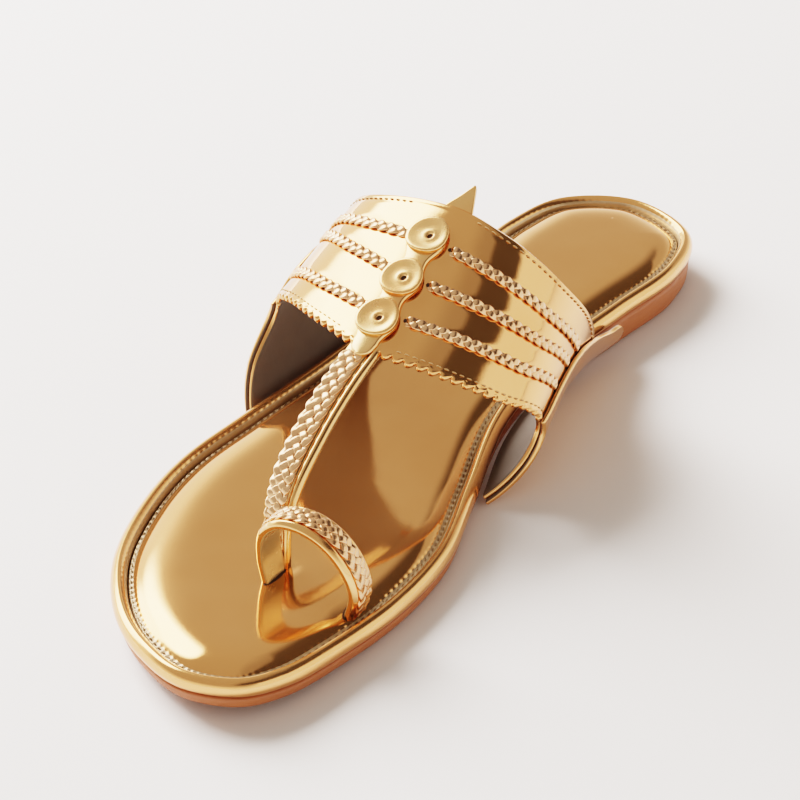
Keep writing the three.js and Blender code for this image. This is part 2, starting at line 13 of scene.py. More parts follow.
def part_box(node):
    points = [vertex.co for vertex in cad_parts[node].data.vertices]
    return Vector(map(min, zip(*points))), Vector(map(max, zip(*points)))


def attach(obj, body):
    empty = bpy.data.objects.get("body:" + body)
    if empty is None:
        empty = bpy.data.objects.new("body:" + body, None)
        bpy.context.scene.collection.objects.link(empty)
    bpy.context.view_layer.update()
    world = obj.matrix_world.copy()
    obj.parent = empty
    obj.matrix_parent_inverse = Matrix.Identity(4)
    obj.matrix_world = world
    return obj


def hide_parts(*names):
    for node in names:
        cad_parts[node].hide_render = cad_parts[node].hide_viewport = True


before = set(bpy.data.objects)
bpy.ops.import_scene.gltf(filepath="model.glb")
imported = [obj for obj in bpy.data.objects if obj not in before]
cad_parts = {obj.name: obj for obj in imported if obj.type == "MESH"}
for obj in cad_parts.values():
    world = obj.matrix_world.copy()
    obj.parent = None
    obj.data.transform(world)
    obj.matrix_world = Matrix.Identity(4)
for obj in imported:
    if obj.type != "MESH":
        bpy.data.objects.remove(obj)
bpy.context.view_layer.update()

MM = 0.001
rng = np.random.default_rng(7)

# Sizes of the sole, the last and the straps, as in the solids apart from small changes for the looks
HEEL_HEIGHT = 8.5
FOREFOOT_THICKNESS = 3.5
TOE_SPRING = 4
HEEL_START_Y = 70
BALL_Y = -30
SPRING_START_Y = -60
SPRING_LENGTH = 65
ARCH = {"rise": 2.4, "front_y": -15, "back_y": 62, "front_part": 0.7, "back_part": 0.84}
WALL = 1.6
PANEL_STEP = 1.2
STRAP_WALL = 1.6
STRAP_DOME = 0.5
STRAP_OVERLAP = 0.9
FOOT_CLEARANCE = 0.4
FOOT_DROP = 1
PINK_DEPTH = 1.5
PINK_PITCH = 3.2
SIDES = ("lateral", "medial")

HEEL_END = (-6, 128)
TOE_TIP = (3, -120.5)
SOLE_SECTIONS = {
    "y": [118, 98, 72, 40, 12, -18, -44, -66, -88, -106, -116],
    "lateral": [-26.5, -33.5, -34.6, -38.8, -43.2, -48.6, -51.3, -48.4, -40.2, -26, -11.5],
    "medial": [17, 22.8, 19.2, 14.5, 15.1, 23.4, 30.8, 31.5, 28.3, 23.8, 16.8],
}
OUTSOLE_PROFILE = {
    "inset": [3.4, 2.5, 1.9, 1.4, 1.15, 0.9, 0.95, 1.6],
    "part": [0, 0, 0.05, 0.14, 0.4, 0.8, 0.97, 1.0],
    "lift": [0, 0.05, 0.2, 0.35, 0.2, 0, 0, 0],
}
RIM_PROFILE = {
    "inset": [1.3, 0.35, 0, 0.4, 1.3, 2.4, 3.4, 4.1, 4.3],
    "height": [0.2, 1, 2.3, 3.9, 4.9, 5.2, 4.4, 3.1, 0.2],
}
GROOVE_PROFILE = {"inset": [4.4, 4.7, 5.2, 5.8], "height": [2.1, 2.6, 2.65, 3.0]}
PAD_RISE = {"height": 3.2, "run": 3.5}
CREST = {"y": [-32, 0, 30, 66], "x": [-4.2, -4.2, -4.2, -4.2], "z": [42, 56, 67, 72]}
SECTIONS = {
    "lateral": {
        "y": [-32, 0, 30, 66], "flare": [9, 13, 10, 6],
        "rise": [17, 24, 27, 24], "shoulder": [29, 35.5, 40, 32],
    },
    "medial": {
        "y": [-32, 0, 30, 66], "flare": [9, 26, 22, 6],
        "rise": [8, 10, 12, 12], "shoulder": [26, 28, 26, 26],
    },
}
BAND_EDGES = {
    "across": [0, 0.09, 0.175, 0.3, 0.4, 0.5, 0.6, 0.72, 0.85, 0.93, 1],
    "front": [-14, -8, 0.5, -10, -19.8, -26, -23.6, -14.6, 0.3, -6, -14],
    "back": [37, 35.5, 33, 26.3, 20.7, 19, 19.8, 27, 41.5, 46, 48],
}
PANEL_TOPS = {
    "lateral": {"y": [-16, 0, 8, 20, 40, 56, 63, 66], "z": [24, 31, 38, 40.5, 33, 19, 13, 9.5]},
    "medial": {"y": [-16, 0, 14, 30, 42, 56, 63, 66], "z": [17, 21, 23.5, 23.8, 20.5, 15, 13, 9.5]},
}
PANEL_END_Y = 66
PANEL_BLEND = 0.12
TOE_STRAP_PATH = [
    (-4.7, -35.8, 40.6), (-4.5, -50, 34.4), (-4, -61.2, 27.4),
    (-3.2, -67, 20), (-1.6, -70, 10), (-1.4, -70.4, 5),
]
TOE_STRAP_WIDTHS = {"top": 9.2, "slit": 5.4, "from": 0.45, "to": 0.95}
TOE_STRAP_LEAD_Y = np.array([-10.0, -22.0])
TOE_LOOP_PATH = [
    (0.8, -75.6, 5), (0.6, -75.6, 9.5), (-0.4, -75.8, 17), (0.6, -76, 23.8), (4.8, -76.2, 28),
    (11, -76.2, 28.8), (17.2, -76, 26.2), (21.6, -75.6, 20.8), (23.4, -75.3, 14.5), (22, -75.2, 8.5),
    (21.4, -75.2, 5),
]
TOE_LOOP_WIDTH = 8.6
BRAIDS = [
    {"name": "front", "lateral": 0.26, "crest": 0.235, "medial": 0.31},
    {"name": "middle", "lateral": 0.67, "crest": 0.48, "medial": 0.54},
    {"name": "back", "lateral": 0.79, "crest": 0.735, "medial": 0.72},
]
BRAID_STARTS = {"lateral": 0.472, "medial": 0.5365}
BRAID_END_GAP = 0.006
ROSETTES = {"front": -17.4, "middle": -5.4, "back": 7.8}
ROSETTE = {"radius": 5.3, "seat": 1.05, "uneven": 0.02, "ripple": 0.07, "shift_x": 0.35, "shift_y": -0.21}
STRIP = {
    "front": -28, "back": 12, "width": 4.2, "lobe": 0.9, "length": 4, "tip": 0.03,
    "seat": 0.05, "thick": 0.9, "puff": 0.35,
}
TAIL = {
    "base": 10, "edge": 18.5, "tip": 24.2, "centre": 2.1,
    "width": 5, "point": 0.4, "slope": 0.88, "skew": 1.75,
}

# Camera of the photograph in the same frame
CAMERA_MM = Vector((297.83, -488.18, 395.08))
CAMERA_AXIS = Vector((-0.38215, 0.7438, -0.54838))
CAMERA_RIGHT = Vector((0.88481, 0.46571, 0.01507))
CAMERA_UP = Vector((-0.26659, 0.47945, 0.83609))
CAMERA_TARGET_MM = Vector((-8.5, -3, 16))
CAMERA_LENS = 118
CAMERA_SENSOR = 36

# Fineness of the sampling, and rounds of smoothing for each millimetre that a ring lies further in
OUTLINE_COUNT = 7200
EDGE_STRIDE = 4
EDGE_BLOCKS = 40
HALVINGS = 26
END_ROUNDS = 20
CREST_STEP = 0.02
FRAME_STEP = {"across": 0.006, "y": 0.8}
RELAX = {"inset": 6, "rounds": 1.6}


# Small helpers
def smooth(value, low, high):
    part = np.clip((value - low) / (high - low), 0, 1)
    return part * part * (3 - 2 * part)


def lerp(a, b, part):
    return a + (b - a) * part


def unit(vectors):
    return vectors / np.maximum(np.linalg.norm(vectors, axis=-1, keepdims=True), 1e-9)


def ridge(distance, middle, width, height):
    """Height of a soft ridge along the line where the distance is at its middle."""
    return height * np.exp(-((distance - middle) / width) ** 2)


def circle(count):
    return np.arange(count) * 2 * math.pi / count


def lengths_along(points):
    """Length of a path from its first point to each of its points."""
    return np.r_[0, np.cumsum(np.linalg.norm(np.diff(points, axis=0), axis=1))]


def column(table, key, name, at):
    """Smooth value of one column of a table, between its rows."""
    keys = np.array(table[key], float)
    values = np.array(table[name], float)
    slopes = np.empty_like(values)
    slopes[1:-1] = (values[2:] - values[:-2]) / (keys[2:] - keys[:-2])
    slopes[0] = (values[1] - values[0]) / (keys[1] - keys[0])
    slopes[-1] = (values[-1] - values[-2]) / (keys[-1] - keys[-2])
    at = np.asarray(at, float)
    row = np.clip(np.searchsorted(keys, at) - 1, 0, len(keys) - 2)
    span = keys[row + 1] - keys[row]
    part = np.clip((at - keys[row]) / span, 0, 1)
    square, cube = part ** 2, part ** 3
    return ((2 * cube - 3 * square + 1) * values[row] + (cube - 2 * square + part) * span * slopes[row]
            + (3 * square - 2 * cube) * values[row + 1] + (cube - square) * span * slopes[row + 1])


def catmull(points, samples, closed):
    """Centripetal Catmull-Rom curve through points, at parts given from 0 to 1."""
    points = np.array(points, float)
    count = len(points)
    if closed:
        at = samples * count
        index = np.floor(at).astype(int)
        p0, p1, p2, p3 = (points[(index + k) % count] for k in (-1, 0, 1, 2))
    else:
        padded = np.vstack([2 * points[0] - points[1], points, 2 * points[-1] - points[-2]])
        at = samples * (count - 1)
        index = np.minimum(np.floor(at).astype(int), count - 2)
        p0, p1, p2, p3 = (padded[index + k] for k in (0, 1, 2, 3))
    weight = (at - index)[..., None]
    d0, d1, d2 = (np.linalg.norm(b - a, axis=-1, keepdims=True) ** 0.5
                  for a, b in ((p0, p1), (p1, p2), (p2, p3)))
    t1 = ((p1 - p0) / d0 - (p2 - p0) / (d0 + d1) + (p2 - p1) / d1) * d1
    t2 = ((p2 - p1) / d1 - (p3 - p1) / (d1 + d2) + (p3 - p2) / d2) * d1
    return (p1 + t1 * weight + (-3 * p1 + 3 * p2 - 2 * t1 - t2) * weight ** 2
            + (2 * p1 - 2 * p2 + t1 + t2) * weight ** 3)


# Sole heights along the foot
def toe_lift(y):
    return TOE_SPRING * (np.maximum(0, SPRING_START_Y - y) / SPRING_LENGTH) ** 2


def seam_height(y):
    slope = smooth(y, BALL_Y, HEEL_START_Y)
    return FOREFOOT_THICKNESS + (HEEL_HEIGHT - FOREFOOT_THICKNESS) * slope + toe_lift(y)


def floor_height(y):
    part = (y - ARCH["front_y"]) / (ARCH["back_y"] - ARCH["front_y"])
    rise = smooth(part, 0, ARCH["front_part"]) * (1 - smooth(part, ARCH["back_part"], 1))
    return toe_lift(y) + ARCH["rise"] * rise


# Outline of the sole, as two branches from heel to toe
outline_points = catmull(
    [HEEL_END, *zip(SOLE_SECTIONS["lateral"], SOLE_SECTIONS["y"]), TOE_TIP,
     *zip(SOLE_SECTIONS["medial"][::-1], SOLE_SECTIONS["y"][::-1])],
    np.arange(OUTLINE_COUNT) / OUTLINE_COUNT, True)
heel_index = int(outline_points[:, 1].argmax())
outline_points = np.roll(outline_points, -heel_index, axis=0)
toe_index = int(outline_points[:, 1].argmin())
branches = {
    "lateral": outline_points[:toe_index + 1],
    "medial": np.vstack([outline_points[toe_index:], outline_points[:1]])[::-1],
}


def outline_x(y, side):
    branch = branches[side]
    return np.interp(y, branch[::-1, 1], branch[::-1, 0])


def ring(inset, count):
    """Points round the outline, half of them on each side, moved in by inset."""
    halves = []
    for side in SIDES:
        branch = branches[side]
        length = lengths_along(branch)
        at = np.linspace(0, length[-1], count // 2 + 1)
        points = np.stack([np.interp(at, length, branch[:, k]) for k in (0, 1)], 1)
        halves.append(points[:-1] if side == "lateral" else points[:0:-1])
    points = np.vstack(halves)
    tangent = unit(np.roll(points, -2, axis=0) - np.roll(points, 2, axis=0))
    normal = np.stack([tangent[:, 1], -tangent[:, 0]], 1)
    outward = np.sign((normal * (points - points.mean(0))).sum())
    placed = points - normal * outward * inset
    for _ in range(int(max(0, inset - RELAX["inset"]) * RELAX["rounds"])):
        placed = (np.roll(placed, 1, axis=0) + 2 * placed + np.roll(placed, -1, axis=0)) / 4
    return placed


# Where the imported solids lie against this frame
rim_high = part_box("rim_wrap")[1]
OFFSET = np.array([
    rim_high.x / MM - outline_points[:, 0].max(),
    rim_high.y / MM - outline_points[:, 1].max(),
    0.0,
])


# The last and the band
def last_point(across, y):
    """Point of the last, across from 0 at the lateral foot to 1 at the medial one."""
    across, y = np.broadcast_arrays(across, y)
    result = np.empty(across.shape + (3,))
    for side in SIDES:
        mask = across <= 0.5 if side == "lateral" else across > 0.5
        part = (2 * across if side == "lateral" else 2 * (1 - across))[mask][..., None]
        out = -1 if side == "lateral" else 1
        at = y[mask]
        value = {name: column(SECTIONS[side], "y", name, at) for name in ("flare", "rise", "shoulder")}
        foot = np.stack([outline_x(at, side) + out * FOOT_CLEARANCE, at, seam_height(at) - FOOT_DROP], -1)
        crest = np.stack([column(CREST, "y", "x", at), at, column(CREST, "y", "z", at)], -1)
        zero = np.zeros_like(at)
        leave = foot + np.stack([out * value["flare"], zero, value["rise"]], -1)
        arrive = crest + np.stack([out * value["shoulder"], zero, zero], -1)
        rest = 1 - part
        result[mask] = (rest ** 3 * foot + 3 * rest ** 2 * part * leave
                        + 3 * rest * part ** 2 * arrive + part ** 3 * crest)
    return result


def last_frame(across, y):
    """Point of the last with its outward normal."""
    low = np.clip(across - FRAME_STEP["across"], 0, 1)
    high = np.clip(across + FRAME_STEP["across"], 0, 1)
    round_way = last_point(high, y) - last_point(low, y)
    along = last_point(across, y + FRAME_STEP["y"]) - last_point(across, y - FRAME_STEP["y"])
    return last_point(across, y), unit(np.cross(round_way, along))


def off_last(across, y, height):
    point, normal = last_frame(across, y)
    return point + normal * np.asarray(height)[..., None]


def front_edge(across):
    return column(BAND_EDGES, "across", "front", across)


def back_edge(across):
    return column(BAND_EDGES, "across", "back", across)


def band_y(across, along):
    return lerp(front_edge(across), back_edge(across), along)


def across_at_height(side, y, z):
    y, z = np.broadcast_arrays(y, z)
    low = np.full(y.shape, 0.0 if side == "lateral" else 1.0)
    high = np.full(y.shape, 0.5)
    for _ in range(HALVINGS):
        middle = (low + high) / 2
        below = last_point(middle, y)[..., 2] < z
        low = np.where(below, middle, low)
        high = np.where(below, high, middle)
    return (low + high) / 2


def off_crest(side, y, height):
    side, y = np.broadcast_arrays(side, y)
    width = last_point(0.5 + CREST_STEP, y)[..., 0] - last_point(0.5 - CREST_STEP, y)[..., 0]
    return off_last(0.5 + 2 * side * CREST_STEP / width, y, height)


def braid_end(row, side):
    """Place across the band where a plait meets the top of the side panel."""
    margin = BRAID_END_GAP if side == "lateral" else -BRAID_END_GAP
    across = BRAID_STARTS[side]
    for _ in range(END_ROUNDS):
        y = float(band_y(across, row[side]))
        top = column(PANEL_TOPS[side], "y", "z", y)
        across = float(across_at_height(side, y, top)) + margin
    return across


def braid_along(row, side, across):
    end = row["ends"][side]
    return lerp(row["crest"], row[side], (across - 0.5) / (end - 0.5))


for braid_row in BRAIDS:
    braid_row["ends"] = {side: braid_end(braid_row, side) for side in SIDES}


# Mesh building
# Mesh building
def mesh_piece(name, materials, node, slot, points, faces, marks=None):
    """Object from points in millimetres; marks gives a material number for each face."""
    mesh = bpy.data.meshes.new(name)
    placed = (points.reshape(-1, 3) + OFFSET) * MM
    mesh.from_pydata(placed.tolist(), [], [list(map(int, face)) for face in faces])
    for material in materials:
        mesh.materials.append(material)
    if marks is not None:
        mesh.polygons.foreach_set("material_index", np.asarray(marks, np.int32))
    mesh.polygons.foreach_set("use_smooth", np.ones(len(mesh.polygons), bool))
    mesh.update()
    piece = bpy.data.objects.new(name, mesh)
    bpy.context.scene.collection.objects.link(piece)
    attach(piece, "root")
    if node:
        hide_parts(node)
    return piece


def grid_faces(rows, cols, wrap_rows=False, wrap_cols=False, start=0):
    r = np.arange(rows if wrap_rows else rows - 1)
    c = np.arange(cols if wrap_cols else cols - 1)
    r, c = np.meshgrid(r, c, indexing="ij")
    r2, c2 = (r + 1) % rows, (c + 1) % cols
    quads = np.stack([r * cols + c, r * cols + c2, r2 * cols + c2, r2 * cols + c], -1)
    return quads.reshape(-1, 4) + start


def face_out(points, faces):
    """The faces, turned so that a closed surface has its normals outside."""
    points = points.reshape(-1, 3)
    a, b, c, d = (points[faces[:, k]] for k in range(4))
    volume = (np.cross(b, c) * a).sum() + (np.cross(c, d) * a).sum()
    return faces if volume > 0 else faces[:, ::-1]


def ring_stack(rows, wrap_rows=False):
    """Points and outward faces of a stack of closed rings."""
    points = np.array(rows)
    return points, face_out(points, grid_faces(len(points), points.shape[1], wrap_rows, True))


def sheet(outer, inner):
    """Closed sheet from two grids: points, faces and a mark for outer 0, inner 1, edge 2."""
    rows, cols = outer.shape[:2]
    points = np.vstack([outer.reshape(-1, 3), inner.reshape(-1, 3)])
    under = rows * cols
    top = grid_faces(rows, cols)
    bottom = grid_faces(rows, cols, start=under)[:, ::-1]
    index = np.arange(under).reshape(rows, cols)
    border = np.r_[index[0, :-1], index[:-1, -1], index[-1, :0:-1], index[:0:-1, 0]]
    after = np.roll(border, -1)
    edge = np.stack([after, border, border + under, after + under], 1)
    marks = np.repeat([0, 1, 2], [len(top), len(bottom), len(edge)])
    return points, face_out(points, np.vstack([top, bottom, edge])), marks


class Batch:
    """Joins many small shapes into one mesh."""

    def __init__(self):
        self.points, self.faces, self.count = [], [], 0

    def add(self, points, faces):
        points = points.reshape(-1, 3)
        self.points.append(points)
        self.faces.extend((np.asarray(face) + self.count).tolist() for face in faces)
        self.count += len(points)

    def piece(self, name, materials, node, slot):
        mesh_piece(name, materials, node, slot, np.vstack(self.points), self.faces)


def add_tube(batch, path, ups, half_width, half_height, sides, bulge=1):
    """Tube along a path, flatter with a bulge under 1; ups points off the surface it lies on."""
    tangent = unit(np.gradient(path, axis=0))
    side_way = unit(np.cross(ups, tangent))
    up = unit(np.cross(tangent, side_way))
    angle = circle(sides) + math.pi / sides
    sideways, upwards = (np.sign(way) * np.abs(way) ** bulge for way in (np.cos(angle), np.sin(angle)))
    width = np.broadcast_to(half_width, len(path))[:, None, None]
    height = np.broadcast_to(half_height, len(path))[:, None, None]
    points = (path[:, None] + side_way[:, None] * sideways[None, :, None] * width
              + up[:, None] * upwards[None, :, None] * height)
    first = batch.count
    last = first + (len(path) - 1) * sides
    batch.add(points, grid_faces(len(path), sides, wrap_cols=True))
    batch.faces.append((first + np.arange(sides)[::-1]).tolist())
    batch.faces.append((last + np.arange(sides)).tolist())


STITCH_FORM = {"points": 7, "bow": 1.5, "sink": 0.7, "end": 0.12, "sides": 6}


def add_stitches(batch, path, ups, pitch, length, radius, lift=0.0, turn=0.0):
    """Row of thread stitches along a path, each one an arched capsule."""
    ups = np.broadcast_to(np.asarray(ups, float), path.shape)
    distance = lengths_along(path)
    number = max(1, int(distance[-1] / pitch))
    spread = np.linspace(-0.5, 0.5, STITCH_FORM["points"])
    arch = radius * (STITCH_FORM["bow"] * (1 - (2 * spread) ** 2) - STITCH_FORM["sink"])
    taper = radius * np.sqrt(np.clip(1 - (2 * spread) ** 4, STITCH_FORM["end"], 1))
    swing = math.tan(turn) * spread * length
    for k in range(number):
        middle = (k + 0.5) * distance[-1] / number
        at = np.clip(middle + spread * length, 0, distance[-1])
        points = np.stack([np.interp(at, distance, path[:, axis]) for axis in range(3)], 1)
        up = unit(np.stack([np.interp(at, distance, ups[:, axis]) for axis in range(3)], 1))
        side_way = unit(np.cross(up, np.gradient(points, axis=0)))
        points = points + up * (lift + arch)[:, None] + side_way * swing[:, None]
        add_tube(batch, points, up, taper, taper, STITCH_FORM["sides"])


# Materials
def principled(name, color, **sockets):
    material = bpy.data.materials.new(name)
    material.use_nodes = True
    shader = material.node_tree.nodes["Principled BSDF"]
    shader.inputs["Base Color"].default_value = (*color, 1)
    for key, value in sockets.items():
        shader.inputs[key.replace("_", " ")].default_value = value
    return material, material.node_tree, shader


def add_node(tree, kind, values, links):
    node = tree.nodes.new(kind)
    for socket, value in values.items():
        node.inputs[socket].default_value = value
    for socket, source in links.items():
        tree.links.new(source, node.inputs[socket])
    return node


def noise(tree, scale, detail=3.0, roughness=0.55, stretch=(1, 1, 1)):
    place = tree.nodes.new("ShaderNodeTexCoord").outputs["Object"]
    mapping = add_node(tree, "ShaderNodeMapping", {"Scale": stretch}, {"Vector": place})
    values = {"Scale": scale, "Detail": detail, "Roughness": roughness}
    return add_node(tree, "ShaderNodeTexNoise", values, {"Vector": mapping.outputs["Vector"]}).outputs["Fac"]


def map_range(tree, value, low, high, to_low=0, to_high=1):
    values = {"From Min": low, "From Max": high, "To Min": to_low, "To Max": to_high}
    return add_node(tree, "ShaderNodeMapRange", values, {"Value": value}).outputs["Result"]


def mix_color(tree, fac, first, second):
    """Colour between two; the first may come from another node."""
    node = tree.nodes.new("ShaderNodeMix")
    node.data_type = "RGBA"
    tree.links.new(fac, node.inputs["Factor"])
    if isinstance(first, tuple):
        node.inputs[6].default_value = (*first, 1)
    else:
        tree.links.new(first, node.inputs[6])
    node.inputs[7].default_value = (*second, 1)
    return node.outputs[2]


def bump(tree, height, strength, distance, normal=None):
    links = {"Height": height, "Normal": normal} if normal else {"Height": height}
    values = {"Strength": strength, "Distance": distance}
    return add_node(tree, "ShaderNodeBump", values, links).outputs["Normal"]


def foil(name, color, worn, rough, grain, wave, metal=0.95):
    """Gold foil on leather: a mirror over a fine grain, a little duller in patches."""
    material, tree, shader = principled(name, color, Metallic=metal, Coat_Weight=0.25, Coat_Roughness=0.08)
    patches = map_range(tree, noise(tree, 60, 4), 0.35, 0.7)
    tree.links.new(mix_color(tree, patches, color, worn), shader.inputs["Base Color"])
    haze = noise(tree, 240, 5, 0.65)
    dull = map_range(tree, haze, 0.3, 0.75, *rough)
    tree.links.new(dull, shader.inputs["Roughness"])
    soft = bump(tree, noise(tree, 70, 1), wave, 0.001)
    fine = bump(tree, noise(tree, 1500, 2), grain, 0.00008, soft)
    tree.links.new(fine, shader.inputs["Normal"])
    return material


def matte(name, dark, light, scale, detail=3, grain=None, **sockets):
    """Plain surface that wanders between two tones; grain gives the noise and size of its bump."""
    material, tree, shader = principled(name, dark, **sockets)
    tree.links.new(mix_color(tree, noise(tree, scale, detail), dark, light), shader.inputs["Base Color"])
    if grain:
        height = noise(tree, grain["scale"], grain["detail"], grain["roughness"])
        tree.links.new(bump(tree, height, grain["strength"], grain["depth"]), shader.inputs["Normal"])
    return material


def sole_material():
    material, tree, shader = principled("sole_tan", (0.4, 0.12, 0.04), Coat_Weight=0.12, Coat_Roughness=0.35)
    tone = noise(tree, 70, 6, 0.6)
    shade = mix_color(tree, tone, (0.34, 0.105, 0.04), (0.47, 0.165, 0.065))
    tree.links.new(shade, shader.inputs["Base Color"])
    streak = noise(tree, 300, 4, 0.6, stretch=(1, 1, 9))
    dull = map_range(tree, streak, 0.3, 0.7, 0.42, 0.62)
    tree.links.new(dull, shader.inputs["Roughness"])
    tree.links.new(bump(tree, streak, 0.25, 0.0003), shader.inputs["Normal"])
    return material


GOLD = (0.92, 0.47, 0.2)
GOLD_WORN = (0.89, 0.44, 0.18)
LINING_NAP = {"scale": 1400, "detail": 4, "roughness": 0.7, "strength": 0.35, "depth": 0.0002}
THREAD_TWIST = {"scale": 5200, "detail": 2, "roughness": 0.55, "strength": 0.5, "depth": 0.0001}

# Foils: colour, worn colour, least and most roughness, strength of grain and wave, metal
gold_pad = foil("gold_pad", GOLD, GOLD_WORN, (0.07, 0.11), 0.06, 0.05)
gold_band = foil("gold_band", GOLD, GOLD_WORN, (0.06, 0.1), 0.08, 0.06)
gold_rim = foil("gold_rim", GOLD, GOLD_WORN, (0.12, 0.2), 0.1, 0.12)
gold_groove = foil("gold_groove", (0.64, 0.46, 0.29), (0.53, 0.37, 0.22), (0.26, 0.4), 0.3, 0.15, 0.65)
strap_back = foil("strap_back", (0.74, 0.53, 0.27), (0.64, 0.45, 0.22), (0.2, 0.3), 0.25, 0.1, 0.6)
gold_strap = foil("gold_strap", (0.94, 0.55, 0.25), GOLD_WORN, (0.1, 0.17), 0.12, 0.1)
gold_bright = foil("gold_bright", (0.96, 0.59, 0.28), GOLD, (0.2, 0.3), 0.1, 0.1)
braid_gold = foil("braid_gold", (0.92, 0.565, 0.335), (0.84, 0.45, 0.235), (0.16, 0.26), 0.2, 0.05)
lining = matte("lining_taupe", (0.14, 0.106, 0.085), (0.18, 0.138, 0.111), 160, 5, LINING_NAP,
               Roughness=0.72, Sheen_Weight=0.2)
sole_tan = sole_material()
thread = matte("thread_gold", (0.46, 0.27, 0.12), (0.62, 0.4, 0.2), 900, 3, THREAD_TWIST, Roughness=0.6)
thread_brown = matte("thread_brown", (0.18, 0.1, 0.048), (0.28, 0.165, 0.08), 900, 3, THREAD_TWIST,
                     Roughness=0.6)
# Near black inside the punched holes, the strap slits and the rosettes' centre holes: painted shade, as these
# are discs on the surface rather than openings
hole_painted_shade = matte("punched_hole_painted_shade", (0.04, 0.018, 0.009), (0.09, 0.042, 0.02), 700, Roughness=0.8)
# Dark brown of the cut slits the plaits pass through, also used as painted shade in the channels beside the
# plaits and between their lobes
cut_edge_and_painted_shade = matte("cut_edge_and_painted_shade", (0.22, 0.1, 0.045), (0.36, 0.2, 0.1), 500, 4, Roughness=0.6)

# Sole pieces: the rings of the pad are given by first inset, last inset and number
RING_COUNT = 2000
RIM_STEPS = 23
GROOVE_ROWS = {"rim": 17, "pad": 7}
STITCH_PITCH = 2.3
STITCH_INSET = 5.15
PUCKER_DRIFT = [(0.35, 23), (0.25, 41)]
RIM_PUCKER = {"from": 0.62, "to": 0.95, "depth": 0.06}
RIM_FOLDS = {"spacing": 12, "depth": 0.03, "least": 0.3}
PAD_PUCKER = {"depth": 0.14, "reach": 0.6}
PAD_RINGS = [(4.4, 6.6, 12), (7.1, 11.5, 9), (12.5, 16.5, 5)]
DENT = {"depth": 0.2, "reach": 2.6}
STRAP_DENTS = {
    "x": [-2.2, 0, 22.2], "y": [-70.6, -75.6, -75.2],
    "half_x": [3, 1.2, 1.2], "half_y": [1, 4.4, 4.4],
}


def ladder_cap(count, start, reverse):
    """Faces between the facing points of a ring of even length."""
    faces = []
    for i in range(count // 2):
        face = [(count - i) % count, (count - i - 1) % count, i + 1, i]
        face = list(dict.fromkeys(face))
        faces.append([v + start for v in (face[::-1] if reverse else face)])
    return faces


def build_outsole():
    count = 360
    rows = []
    for inset, part, lift in zip(*OUTSOLE_PROFILE.values()):
        flat = ring(inset, count)
        low, high = floor_height(flat[:, 1]), seam_height(flat[:, 1])
        rows.append(np.column_stack([flat, lerp(low, high, part) + lift]))
    points, faces = ring_stack(rows)
    top = (len(rows) - 1) * count
    caps = ladder_cap(count, 0, False) + ladder_cap(count, top, True)
    mesh_piece("outsole_skin", [sole_tan], "outsole", "sole_tan", points, faces.tolist() + caps)


def pucker():
    """Wave of the stitched groove round the outline: 1 at a stitch hole, -1 between."""
    points = ring(0, RING_COUNT)
    distance = lengths_along(np.vstack([points, points[:1]]))
    turn = 2 * math.pi * distance[:-1] / distance[-1]
    drift = sum(size * np.sin(waves * turn) for size, waves in PUCKER_DRIFT)
    return np.cos(round(distance[-1] / STITCH_PITCH) * turn + drift)


def build_rim():
    steps = np.linspace(0, 1, RIM_STEPS)
    table = {"part": np.linspace(0, 1, len(RIM_PROFILE["inset"])), **RIM_PROFILE}
    insets = column(table, "part", "inset", steps)
    heights = column(table, "part", "height", steps)
    wave = pucker()
    knots = np.arange(0, RING_COUNT, RIM_FOLDS["spacing"])
    fold = np.interp(np.arange(RING_COUNT), knots, rng.uniform(-1, 1, len(knots)))
    rows = []
    for inset, height, part in zip(insets, heights, steps):
        flat = ring(inset, RING_COUNT)
        inner = smooth(part, RIM_PUCKER["from"], RIM_PUCKER["to"])
        depth = RIM_PUCKER["depth"] * wave * inner + RIM_FOLDS["depth"] * fold * (RIM_FOLDS["least"] + inner)
        rows.append(np.column_stack([flat, seam_height(flat[:, 1]) + height - depth]))
    points, faces = ring_stack(rows, wrap_rows=True)
    marks = np.arange(len(faces)) // RING_COUNT >= GROOVE_ROWS["rim"]
    mesh_piece("rim_skin", [gold_rim, gold_groove], "rim_wrap", "gold_leather", points, faces, marks)


def pad_height(inset):
    """Height of the pad over the seam: the stitched groove, then a slope that levels out."""
    foot = GROOVE_PROFILE["inset"][-1]
    swell = PAD_RISE["height"] * (1 - np.exp(-np.maximum(0, inset - foot) / PAD_RISE["run"]))
    return column(GROOVE_PROFILE, "inset", "height", inset) + swell


def strap_dents(points):
    """How far the pad is drawn down where the toe straps pass through it."""
    depth = np.zeros(points.shape[:-1])
    for x, y, half_x, half_y in zip(*STRAP_DENTS.values()):
        away = np.hypot(np.maximum(0, np.abs(points[..., 0] - x) - half_x),
                        np.maximum(0, np.abs(points[..., 1] - y) - half_y))
        depth += ridge(away, middle=0, width=DENT["reach"], height=DENT["depth"])
    return depth


def pad_surface(points):
    """Height of the pad at each point, with the dents of the toe straps."""
    line = outline_points[::EDGE_STRIDE]
    blocks = np.array_split(points[:, :2], EDGE_BLOCKS)
    inset = np.concatenate([np.linalg.norm(block[:, None] - line, axis=-1).min(1) for block in blocks])
    return seam_height(points[:, 1]) + pad_height(inset) - strap_dents(points)


def up_faces(points, faces):
    """The faces without repeated corners, turned to look up."""
    result = []
    for face in faces:
        face = list(dict.fromkeys(int(corner) for corner in face))
        if len(face) > 2:
            x, y = points[face, 0], points[face, 1]
            area = (x * np.roll(y, -1) - np.roll(x, -1) * y).sum()
            result.append(face if area > 0 else face[::-1])
    return result


